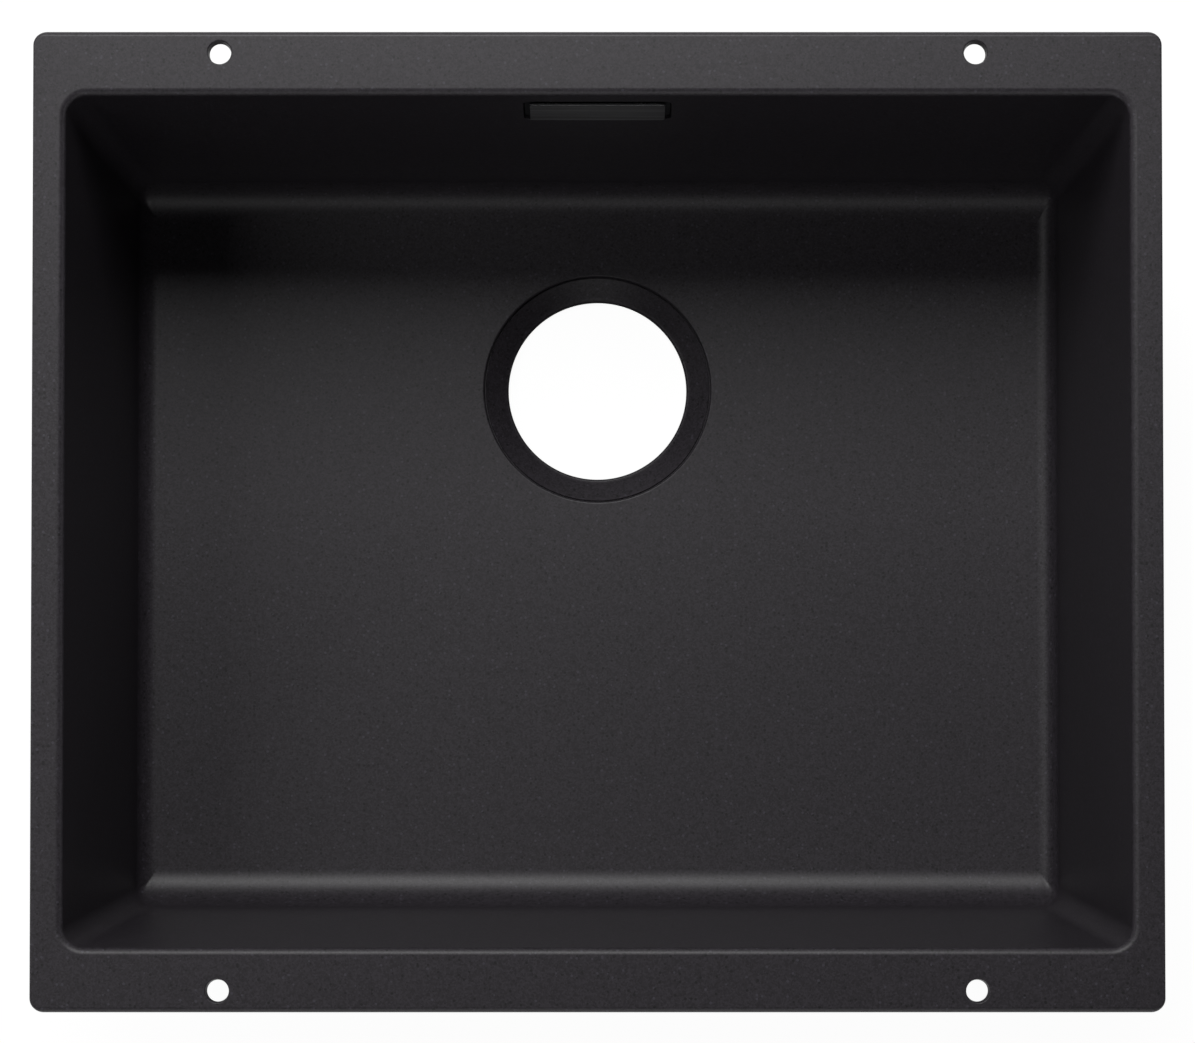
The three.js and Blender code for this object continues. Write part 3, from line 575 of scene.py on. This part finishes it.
def bowlRings():
    halfRimX = bowl["width"] / 2 + bowl["rimSide"]
    halfRimY = bowl["depth"] / 2 + bowl["rimLong"]
    steps = fineness["edge"]
    rings = []
    # rim's top edge, from its side up to the top face
    for angle in sweep(0, math.pi / 2, steps):
        back, down = 1 - math.cos(angle), 1 - math.sin(angle)
        rings.append(ring(halfRimX - bowl["rimSideEdge"] * back, halfRimY - bowl["rimLongEdge"] * back,
                          bowl["rimCorner"] - bowl["rimLongEdge"] * back,
                          -bowl["rimSideEdge"] * down, -bowl["rimLongEdge"] * down))
    # mouth, from the top face over its rounded edge to the wall
    radius, lean = bowl["mouthEdge"], draftAngle / (math.pi / 2)
    rings += shrunkRings(wallOutline(-radius, radius), arc(0, -radius, radius, 1, lean, steps + 3))
    fillet = filletRings(0, floorEdgeZ)
    rings += between(rings[-1], fillet[0], fineness["wall"]) + fillet
    # floor, falling to the drain while its rings grow round, and the same way back under it
    top = -bowl["height"]
    underFloor = floorEdgeZ - bowl["floor"]
    circles = drainRings(top)
    rings += floorRings(rings[-1], circles[0], floorEdgeZ, top) + circles
    outer = filletRings(bowl["wall"], underFloor)[::-1]
    rings += floorRings(outer[0], circles[-1], underFloor, circles[-1][1][0])[::-1] + outer
    # hollow under the rim, then the rim's underside and its lower edge
    root, under = bowl["rimRoot"], -bowl["rimThickness"]
    hollow = shrunkRings(wallOutline(under - root, bowl["wall"] + root),
                         arc(0, under - root, root, lean, 1, steps + 1))
    rings += between(rings[-1], hollow[0], fineness["wall"]) + hollow
    edge = bowl["rimUnderEdge"]
    return rings + shrunkRings((halfRimX, halfRimY, bowl["rimCorner"]),
                               arc(edge, under + edge, edge, 3, 2, steps=3))


sinkBowl = loft("sinkBowl", bowlRings(), composite, fineness["corner"], fineness["side"])
print("bowl lofted", len(sinkBowl.data.polygons))

# The overflow's pieces are laid out against the back wall, which leans with the draft: X left to right, then
# how deep they lie behind the wall's inner face, and how high they stand along it. A loft's rings are stacked
# into the depth.
slot = {"inlet": 3.0, "pocketDepth": 4.8, "pocketCorner": 4.0, "ledge": 6.0, "throatCorner": 3.0, "edge": 0.5}
cover = {"width": 64.0, "height": 28.0, "thickness": 1.0, "proud": 1.0, "top": 16.5, "corner": 1.8,
         "edge": 0.15, "cutFrom": 45}  # faces that lean more than these degrees belong to the cut edge
fitGap = 0.3
cutClear = 1.0  # how far a cutter stands past the faces that it cuts

coverMiddle = (cover["top"] + cover["height"] / 2 * math.cos(draftAngle)
               - cover["proud"] * math.sin(draftAngle))
wallPlace = (Matrix.Translation(Vector((0, wallOutline(-coverMiddle)[1], -coverMiddle)) * mm)
             @ Matrix.Rotation(-draftAngle, 4, "X"))
layDown = wallPlace @ Matrix.Rotation(-math.pi / 2, 4, "X")

# outlines in the wall: half width, half height and corner radius
pocket = (cover["width"] / 2 + slot["inlet"], cover["height"] / 2 + slot["inlet"], slot["pocketCorner"])
throat = (pocket[0] - slot["ledge"], pocket[1] - slot["ledge"], slot["throatCorner"])


def softEdge(outline, depth, radius, into=1, opens=False, outwards=True):
    # rings through a rounded edge of an outline. into is 1 where the material lies deeper and -1 where it is
    # in front; opens is for the edge of a hole; outwards runs from the face to the side, or else back.
    first, last = (math.pi / 2, 0) if outwards else (0, math.pi / 2)
    rings = []
    for angle in sweep(first, last, 4):
        inset = radius * (1 - math.cos(angle)) * (-1 if opens else 1)
        rings.append(ring(*grown(outline, -inset), depth + into * radius * (1 - math.sin(angle))))
    return rings


def slabEdges(outline, front, back, edge):
    return softEdge(outline, front, edge) + softEdge(outline, back, edge, into=-1, outwards=False)


def plate(name, outline, front, back, edge, material):
    # a solid plate or block with rounded edges
    rings = [ring(0, 0, 0, front)] + slabEdges(outline, front, back, edge) + [ring(0, 0, 0, back)]
    return loft(name, rings, material, closes=False)


def setInWall(obj, x=0.0):
    obj.data.transform(layDown @ Matrix.Translation((x * mm, 0, 0)))
    return obj


def slotCutter():
    # a pocket with a softened edge at the wall's face, and the way through behind it
    before, behind = -bowl["wall"], 2 * bowl["wall"]
    rings = [ring(0, 0, 0, before), ring(*grown(pocket, slot["edge"]), before)]
    rings += softEdge(pocket, 0, slot["edge"], opens=True)
    rings += [ring(*pocket, slot["pocketDepth"]), ring(*throat, slot["pocketDepth"])]
    rings += [ring(*throat, behind), ring(0, 0, 0, behind)]
    return setInWall(loft("slotCutter", rings, composite, closes=False))


def rimHoleCutter(x, y):
    top, bottom, edge = rimHoles["top"] / 2, rimHoles["bottom"] / 2, rimHoles["edge"]
    under = -bowl["rimThickness"]
    profile = [(0, cutClear), (top + edge, cutClear)] + arc(top + edge, -edge, edge, 1, 2)
    profile += [(bottom, under), (bottom, under - cutClear), (0, under - cutClear)]
    hole = turned("rimHole", profile, composite)
    hole.data.transform(Matrix.Translation(Vector((x, y, 0)) * mm))
    return hole


holes = [slotCutter()]
for signX in (-1, 1):
    for signY in (-1, 1):
        holes.append(rimHoleCutter(signX * rimHoles["spacingX"] / 2,
                                   signY * (bowl["depth"] / 2 + bowl["rimLong"] - rimHoles["inset"])))
sinkBowl = finishShading(combine(sinkBowl, removed=holes))
handOver(sinkBowl, "sink", "sink_bowl")
print("bowl finished", len(sinkBowl.data.polygons))


coverOutline = (cover["width"] / 2, cover["height"] / 2, cover["corner"])
coverBack = cover["thickness"] - cover["proud"]
overflowCover = plate("overflowCover", coverOutline, -cover["proud"], coverBack, cover["edge"], stainless)
# the brushed face keeps its finish, and the cut sides of the sheet are duller
overflowCover.data.materials.append(cutEdge)
for face in overflowCover.data.polygons:
    if abs(face.normal.z) < math.cos(math.radians(cover["cutFrom"])):
        face.material_index = len(overflowCover.data.materials) - 1
overflowCover = finishShading(setInWall(overflowCover), crease=50)
handOver(overflowCover, "cover", "overflow_cover")

screwBlock = {"width": 10.0, "height": 12.0, "corner": 0.6, "edge": 0.3, "recess": 0.2}
insert = {"flange": 1.5, "wall": 1.5, "edge": 0.3, "gasket": 0.8}
spring = {"thickness": 0.6, "width": 6.0, "reach": 8.0, "flare": 1.1, "bend": 0.9, "edge": 0.15, "gap": 0.02}

gasketFront = slot["pocketDepth"] - fitGap - insert["gasket"]
insertFront = gasketFront - fitGap - insert["flange"]
sleeve = grown(throat, -fitGap)
passage = (sleeve[0] - insert["wall"], sleeve[1] - insert["wall"], sleeve[2] - insert["wall"] / 2)
screwX = passage[0] - screwBlock["width"] / 2


def stripTree():
    # a strip of sheet metal that follows a bent line, with its corners rounded and its cut edges eased
    tree, inputs = newTree("bent strip", {"Width": "Float", "Thickness": "Float", "Bend": "Float",
                                          "Edge": "Float"})
    line = addNode(tree, "GeometryNodeMeshToCurve", links={0: inputs["Geometry"]})
    bent = addNode(tree, "GeometryNodeFilletCurve", {"mode": "POLY"},
                   {"Curve": line.outputs[0], "Count": 8, "Radius": inputs["Bend"], "Limit Radius": True})
    faced = addNode(tree, "GeometryNodeSetCurveNormal", {"mode": "FREE"},
                    {"Curve": bent.outputs[0], "Normal": (1, 0, 0)})
    section = addNode(tree, "GeometryNodeCurvePrimitiveQuadrilateral",
                      links={"Width": inputs["Width"], "Height": inputs["Thickness"]})
    eased = addNode(tree, "GeometryNodeFilletCurve", {"mode": "POLY"},
                    {"Curve": section.outputs[0], "Count": 3, "Radius": inputs["Edge"], "Limit Radius": True})
    strip = addNode(tree, "GeometryNodeCurveToMesh",
                    links={"Curve": faced.outputs[0], "Profile Curve": eased.outputs[0], "Fill Caps": True})
    merged = addNode(tree, "GeometryNodeMergeByDistance",
                     links={"Geometry": strip.outputs[0], "Distance": weldDistance})
    return endTree(tree, merged.outputs[0], inputs["Material"])


stripGroup = stripTree()


def coverSpring(side, name):
    # a leaf bent into a U, with its web on the plate's back and its legs above and below a screw block
    web = coverBack + spring["thickness"] / 2 + spring["gap"]
    leg = screwBlock["height"] / 2 + fitGap + spring["thickness"] / 2
    tip = coverBack + fitGap + spring["thickness"] + spring["reach"]
    bend = tip - spring["reach"] / 4
    half = [(web, leg), (bend, leg), (tip, leg + spring["flare"])]
    line = [(y, -z) for y, z in reversed(half)] + half
    mesh = bpy.data.meshes.new(name + " line")
    mesh.from_pydata([(0, y * mm, z * mm) for y, z in line], [(i, i + 1) for i in range(len(line) - 1)], [])
    made = fromTree(name, mesh, stripGroup, {
        "Width": spring["width"] * mm, "Thickness": spring["thickness"] * mm, "Bend": spring["bend"] * mm,
        "Edge": spring["edge"] * mm, "Material": springSteel,
    })
    made.data.transform(wallPlace @ Matrix.Translation((side * screwX * mm, 0, 0)))
    return finishShading(made, crease=40)


for side, word in ((-1, "left"), (1, "right")):
    handOver(coverSpring(side, "coverSpring_" + word), "cover", "cover_spring_" + word)
print("cover and springs finished")


screw = {
    "length": 20.0, "diameter": 5.0, "head": 9.2, "headHeight": 2.5, "rim": 0.3, "socket": 3.0,
    "socketDepth": 1.6, "pitch": 0.8, "threadDepth": 0.45, "neck": 0.6, "point": 0.8, "stepsPerTurn": 8,
}
knurled = {"length": 8.0, "wall": 1.2, "depth": 0.3, "count": 24, "waist": 1.2, "chamfer": 0.4}
elbow = {
    "wallGasket": 1.5, "flange": 2.5, "margin": 9.0, "corner": 6.0, "edge": 0.6, "wall": 2.2, "bossWall": 2.0,
    "spigot": 20.0, "spigotLength": 34.0, "barb": 0.9, "barbs": 3, "barbPitch": 7.0, "barbGap": 1.0,
    "barbEase": 0.12, "barbDepths": (0, 0.86, 1.0, 1.2, 1.5), "rib": 1.5, "ribReach": 8.0, "ribRoot": 1.0,
    "bends": 20, "arcSteps": 14, "step": 0.05,
}

# how deep the parts of the stack lie behind the wall's face
headFront = insertFront + fitGap
screwTip = headFront + screw["length"]
wallGasketFront = bowl["wall"] + fitGap
elbowFront = wallGasketFront + elbow["wallGasket"] + fitGap
elbowBack = elbowFront + elbow["flange"]
sleeveBack = elbowBack - fitGap
brassFront = elbowBack + fitGap
brassBore = screw["diameter"] / 2 + fitGap
brassRadius = brassBore + knurled["wall"]
socketRadius = brassRadius + fitGap
socketBack = max(screwTip, brassFront + knurled["length"]) + 2 * fitGap
bossRadius = socketRadius + elbow["bossWall"]


def hexagonCutter(across, front, back):
    work = bmesh.new()
    radius = across / math.sqrt(3) * mm
    bmesh.ops.create_cone(work, cap_ends=True, segments=6, radius1=radius, radius2=radius,
                          depth=(back - front) * mm)
    bmesh.ops.translate(work, verts=work.verts, vec=(0, 0, (front + back) / 2 * mm))
    mesh = bpy.data.meshes.new("hexagon")
    work.to_mesh(mesh)
    work.free()
    mesh.materials.append(screwSteel)
    return addObject("hexagon", mesh)


def frameScrew(side, name):
    # countersunk screw with a hexagon socket and a full thread that runs out before the head
    head, shank, rim = screw["head"] / 2, screw["diameter"] / 2, screw["rim"]
    coneEnd = headFront + rim + head - shank
    start = coneEnd + screw["neck"]
    end = screwTip - screw["point"]
    bend = rim * 0.3
    profile = [(0, headFront), (head - rim, headFront), (head - bend, headFront + bend),
               (head, headFront + rim), (shank, coneEnd)]
    turns = math.ceil((end - start) / screw["pitch"] * screw["stepsPerTurn"])
    for height in sweep(start, end, turns):
        profile.append((shank, height, screw["threadDepth"] * min(1, (height - start) / screw["pitch"])))
    profile += [(shank - screw["threadDepth"], screwTip), (0, screwTip)]
    made = turned(name, profile, screwSteel, 32, grooves=1, climb=1 / (screw["pitch"] * mm))
    socket = hexagonCutter(screw["socket"], headFront - cutClear, headFront + screw["socketDepth"])
    return finishShading(setInWall(combine(made, removed=[socket]), side * screwX), crease=30)


def threadInsert(side, name):
    # brass sleeve with two knurled bands that hold it in the moulding
    chamfer, depth = knurled["chamfer"], knurled["depth"]
    middle, half = knurled["length"] / 2, knurled["waist"] / 2
    profile = [(brassBore + chamfer / 2, brassFront)]
    for first, last in ((0.0, middle - half), (middle + half, knurled["length"])):
        low, high = brassFront + first, brassFront + last
        profile += [(brassRadius - chamfer, low), (brassRadius, low + chamfer, depth),
                    (brassRadius, high - chamfer, depth), (brassRadius - chamfer, high)]
    profile += [(brassBore + chamfer / 2, high), (brassBore, high - chamfer / 2),
                (brassBore, brassFront + chamfer / 2)]
    made = turned(name, profile, brass, 4 * knurled["count"], grooves=knurled["count"])
    return finishShading(setInWall(made, side * screwX), crease=30)


for side, word in ((-1, "left"), (1, "right")):
    handOver(frameScrew(side, "frameScrew_" + word), "sink", "frame_screw_" + word)
    handOver(threadInsert(side, "threadInsert_" + word), "sink", "thread_insert_" + word)
print("screws and inserts finished")


def screwHoleCutter(side):
    bore, head = brassBore, screw["head"] / 2 + fitGap
    front, back = insertFront - cutClear, sleeveBack + cutClear
    profile = [(0, front), (head, front), (head, headFront), (bore, headFront + screw["headHeight"]),
               (bore, back), (0, back)]
    return setInWall(turned("screwHole", profile, moulding), side * screwX)


def overflowFrame():
    # the moulded insert that lines the slot and the way through the wall, with its two screw blocks
    edge, flangeBack = insert["edge"], insertFront + insert["flange"]
    flange = grown(pocket, -fitGap)
    rings = softEdge(passage, insertFront, edge, opens=True, outwards=False)
    rings += slabEdges(flange, insertFront, flangeBack, edge) + [ring(*sleeve, flangeBack)]
    rings += softEdge(sleeve, sleeveBack, edge, into=-1, outwards=False)
    rings += softEdge(passage, sleeveBack, edge, into=-1, opens=True)
    made = setInWall(loft("overflowFrame", rings, moulding))
    reach = insert["wall"] / 4  # into the sleeve's wall
    outline = (screwBlock["width"] / 2 + reach, screwBlock["height"] / 2, screwBlock["corner"])
    front, back = insertFront + screwBlock["recess"], sleeveBack - screwBlock["recess"]
    blocks, holes = [], []
    for side in (-1, 1):
        block = plate("screwBlock", outline, front, back, screwBlock["edge"], moulding)
        blocks.append(setInWall(block, side * (screwX + reach)))
        holes.append(screwHoleCutter(side))
    return finishShading(combine(made, blocks, holes))


bead = {"height": 0.12, "steps": 16}  # the height is a share of the gasket's thickness


def gasket(name, inner, outer, front, thickness, beads):
    # a flat rubber ring with round beads that the faces on both sides would squeeze
    ease = thickness * bead["height"]
    across = sweep(0, 1, bead["steps"] * beads)
    rings = []
    for share in across + across[::-1]:
        size = [mix(a, b, share) for a, b in zip(inner, outer)]
        down = ease * (1 - max(0, -math.cos(2 * math.pi * beads * share)))
        isFront = len(rings) < len(across)
        rings.append(ring(*size, front + down if isFront else front + thickness - down))
    return finishShading(setInWall(loft(name, rings, rubber)), crease=60)


handOver(overflowFrame(), "sink", "overflow_frame")
frameSeal = gasket("frameSeal", throat, grown(pocket, -fitGap), gasketFront, insert["gasket"], 1)
handOver(frameSeal, "sink", "frame_seal")
seat = (throat[0] + elbow["margin"], throat[1] + elbow["margin"], elbow["corner"])
wallSeal = gasket("wallSeal", throat, seat, wallGasketFront, elbow["wallGasket"], 2)
handOver(wallSeal, "sink", "wall_seal")
print("insert and gaskets finished")


# The elbow's sections stand in planes that turn about a line along X just under its mouth, from the mouth,
# which looks into the bowl, to the top of the spigot.
mouth = grown(sleeve, 2 * fitGap)
hood = grown(mouth, elbow["wall"])
spigotRadius = elbow["spigot"] / 2
turnZ = -hood[1] - elbow["wall"]


def hoodSection(share, inset, forwards=0.0):
    turn, eased = share * math.pi / 2, share * share * (3 - 2 * share)
    halfX = mix(hood[0], spigotRadius, eased) - inset
    halfOut = mix(hood[1], spigotRadius, eased) - inset
    reach = mix(elbow["wall"] + hood[1], spigotRadius + elbow["wall"] / 4, eased)
    corner = min(mix(slot["throatCorner"] + elbow["wall"], spigotRadius, eased) - inset, halfX, halfOut)
    points = []
    for quarter, (signX, signOut) in enumerate(((1, 1), (-1, 1), (-1, -1), (1, -1))):
        for angle in sweep(quarter * math.pi / 2, (quarter + 1) * math.pi / 2, elbow["arcSteps"]):
            across = signX * (halfX - corner) + corner * math.cos(angle)
            out = reach + signOut * (halfOut - corner) + corner * math.sin(angle)
            depth, height = out * math.sin(turn), out * math.cos(turn)
            points.append(Vector((across, elbowBack - forwards + depth, turnZ + height)))
    return points


def spigotSection(radius, depth):
    return [Vector((p.x, p.y, turnZ - depth)) for p in hoodSection(1, spigotRadius - radius)]


def elbowShell():
    wall, length = elbow["wall"], elbow["spigotLength"]
    shares = sweep(0, 1, elbow["bends"])[1:]
    straight = elbow["flange"] - elbow["step"]
    rings = [hoodSection(0, 0, straight)] + [hoodSection(share, 0) for share in shares]
    # a barb's steep side holds the hose, and its gentle side faces the end where the hose comes on
    high = spigotRadius + elbow["barb"]
    eased = high - elbow["barbEase"]
    radii = (spigotRadius, eased, high, high, eased)
    barb = [*zip(radii, elbow["barbDepths"]), (spigotRadius, elbow["barbPitch"] - elbow["barbGap"])]
    for count in range(elbow["barbs"], 0, -1):
        top = length - count * elbow["barbPitch"]
        rings += [spigotSection(radius, top + depth) for radius, depth in barb]
    rings.append(spigotSection(spigotRadius - fitGap, length))
    rings.append(spigotSection(spigotRadius - wall + fitGap, length))
    rings.append(spigotSection(spigotRadius - wall, length - fitGap))
    rings += [hoodSection(share, wall) for share in reversed(shares)] + [hoodSection(0, wall, straight)]
    return skinned("overflowBody", rings, moulding)


def screwBoss():
    wall = elbow["bossWall"]
    front, back = elbowBack + elbow["step"], socketBack + wall
    dome = arc(bossRadius - wall, back - wall, wall, 0, 1, steps=6)
    return turned("boss", [(0, front), (bossRadius, front)] + dome + [(0, back)], moulding)


def screwSocket():
    front = elbowBack - cutClear
    profile = [(0, front), (socketRadius, front), (socketRadius, socketBack), (0, socketBack)]
    return turned("socket", profile, moulding)


def flangeRib(side):
    # a thin rib that stiffens the flange above the elbow
    half, root = elbow["rib"] / 2, hood[1] - elbow["wall"] / 2 - elbow["ribRoot"]
    front, top = elbowFront + elbow["flange"] / 2, seat[1] - elbow["rib"]
    outline = [(front, root), (front, top), (elbowBack + elbow["rib"], top),
               (elbowBack + elbow["ribReach"], root)]
    x = side * mouth[0] / 2
    rings = [[Vector((x + across, y, z)) for y, z in outline] for across in (-half, half)]
    return skinned("rib", rings, moulding, wraps=False)


def elbowFlange():
    # a plate with an eased edge and a hole that ends inside the elbow's wall
    hole = grown(mouth, elbow["wall"] / 2)
    edges = slabEdges(seat, elbowFront, elbowBack, elbow["edge"])
    rings = [ring(*hole, elbowFront)] + edges + [ring(*hole, elbowBack)]
    return setInWall(loft("flange", rings, moulding))


def overflowBody():
    shell, ribs = elbowShell(), [flangeRib(-1), flangeRib(1)]
    for obj in (shell, *ribs):
        obj.data.transform(wallPlace)
    added, removed = ribs + [elbowFlange()], []
    for side in (-1, 1):
        added.append(setInWall(screwBoss(), side * screwX))
        removed.append(setInWall(screwSocket(), side * screwX))
    return finishShading(combine(shell, added, removed), crease=40)


handOver(overflowBody(), "sink", "overflow_body")
print("elbow finished")


# lengths in metres, but for the floor's height
studio = {
    "floorZ": -205.0, "floorRadius": 9.0, "flatShare": 0.6, "floorRise": 2.5, "sides": 64, "turnSteps": 12,
    # shadeColour and its two radii paint a shadow of the sink on the paper, for bounced light and reflections
    "floorColour": "#cccccc", "shadeColour": "#777777", "shadeInner": 0.25, "shadeOuter": 0.5,
    "glow": 1.2, "glowShare": 0.8, "room": 0.005,
}


def paperMaterial():
    # The camera sees the whole floor pale. Light that bounces and reflections see a painted shadow of the
    # sink on the paper under it, so that the drain and the rim holes keep their dark walls.
    material, tree = emptyMaterial("white studio paper")
    ray = addNode(tree, "ShaderNodeLightPath").outputs
    place = addNode(tree, "ShaderNodeTexCoord").outputs["Object"]
    away = addNode(tree, "ShaderNodeVectorMath", {"operation": "LENGTH"}, {0: place}).outputs["Value"]
    # the mask of the painted shadow: 0 under the sink, rising to 1 beyond it
    uncovered = addNode(tree, "ShaderNodeMapRange", {"interpolation_type": "SMOOTHSTEP"}, {
        "Value": away, "From Min": studio["shadeInner"], "From Max": studio["shadeOuter"]}).outputs[0]
    pale = addNode(tree, "ShaderNodeMath", {"operation": "MAXIMUM"}, {0: uncovered, 1: ray["Is Camera Ray"]})
    # the shade colour is the painted shadow under the sink, for every ray but the camera's
    colour = addNode(tree, "ShaderNodeMix", {"data_type": "RGBA"}, {
        "Factor": pale.outputs[0], 6: linear(studio["shadeColour"]), 7: linear(studio["floorColour"])})
    paper = addNode(tree, "ShaderNodeBsdfDiffuse", links={"Color": colour.outputs[2]})
    # together with the lit paper the glow makes white
    glow = addNode(tree, "ShaderNodeEmission", links={"Color": (1, 1, 1, 1), "Strength": studio["glow"]})
    # painted shadow in reflections: glossy rays see no glow under the sink
    mirrored = addNode(tree, "ShaderNodeMath", {"operation": "MULTIPLY"},
                       {0: ray["Is Glossy Ray"], 1: uncovered})
    seen = addNode(tree, "ShaderNodeMath", {"operation": "MAXIMUM"},
                   {0: ray["Is Camera Ray"], 1: mirrored.outputs[0]})
    seenThrough = addNode(tree, "ShaderNodeMath", {"operation": "MAXIMUM"},
                          {0: seen.outputs[0], 1: ray["Is Transmission Ray"]})
    share = addNode(tree, "ShaderNodeMath", {"operation": "MULTIPLY"},
                    {0: seenThrough.outputs[0], 1: studio["glowShare"]})
    both = addNode(tree, "ShaderNodeMixShader",
                   links={0: share.outputs[0], 1: paper.outputs[0], 2: glow.outputs[0]})
    addNode(tree, "ShaderNodeOutputMaterial", links={"Surface": both.outputs[0]})
    return material


def studioFloor():
    # a wide round floor that turns up at its edge, so it is the backdrop too
    flat = studio["floorRadius"] * studio["flatShare"]
    turn = studio["floorRadius"] - flat
    profile = [(1.0, 0.0), (flat, 0.0)]
    for angle in sweep(0, math.pi / 2, studio["turnSteps"])[1:]:
        profile.append((flat + turn * math.sin(angle), studio["floorRise"] * (1 - math.cos(angle))))
    sides = studio["sides"]
    points, faces = [], []
    for radius, height in profile:
        z = height + studio["floorZ"] * mm
        for i in range(sides):
            angle = 2 * math.pi * i / sides
            points.append((radius * math.cos(angle), radius * math.sin(angle), z))
    for row in range(len(profile) - 1):
        for i in range(sides):
            j = (i + 1) % sides
            faces.append((row * sides + i, (row + 1) * sides + i, (row + 1) * sides + j, row * sides + j))
    faces.append(tuple(range(sides)))
    mesh = bpy.data.meshes.new("studioFloor")
    mesh.from_pydata(points, [], faces)
    mesh.polygons.foreach_set("use_smooth", [True] * len(mesh.polygons))
    mesh.materials.append(paperMaterial())
    addObject("studioFloor", mesh)


studioFloor()

world = bpy.data.worlds.new("soft room")
bpy.context.scene.world = world
world.use_nodes = True
world.node_tree.nodes.clear()
sky = addNode(world.node_tree, "ShaderNodeBackground",
              links={"Color": (1, 1, 1, 1), "Strength": studio["room"]})
addNode(world.node_tree, "ShaderNodeOutputWorld", links={"Surface": sky.outputs[0]})

# softboxes with azimuth from +X, elevation and power in watts; all are of one size and distance, in metres
softboxes = {
    "back": (95, 56, 23.5),
    "backLeft": (120, 42, 3.2),
    "left": (180, 55, 5.3),
    "front": (270, 35, 4.5),
}
softbox = {"distance": 2.2, "side": 0.9, "aimZ": -0.1}
for name, (azimuth, elevation, power) in softboxes.items():
    lamp = bpy.data.lights.new(name, "AREA")
    lamp.shape = "SQUARE"
    lamp.size = softbox["side"]
    lamp.energy = power
    holder = addObject(name, lamp)
    turn, rise = math.radians(azimuth), math.radians(elevation)
    towards = Vector((math.cos(rise) * math.cos(turn), math.cos(rise) * math.sin(turn), math.sin(rise)))
    holder.location = towards * softbox["distance"] + Vector((0, 0, softbox["aimZ"]))
    holder.rotation_euler = towards.to_track_quat("Z", "Y").to_euler()

# The photograph looks straight down from in front of the middle. A little lens shift and tilt frame the sink.
view = {"y": -166.2, "z": 2460.0, "tilt": 2.16, "lens": 158.668, "sensor": 36, "shiftY": 0.13, "clipEnd": 100}
cameraData = bpy.data.cameras.new("camera")
camera = addObject("camera", cameraData)
cameraData.sensor_width = view["sensor"]
cameraData.lens = view["lens"]
cameraData.shift_y = view["shiftY"]
cameraData.clip_end = view["clipEnd"]
camera.location = (0, view["y"] * mm, view["z"] * mm)
camera.rotation_euler = (math.radians(view["tilt"]), 0, 0)
bpy.context.scene.camera = camera
bpy.context.scene.view_settings.view_transform = "Standard"
print("studio ready")
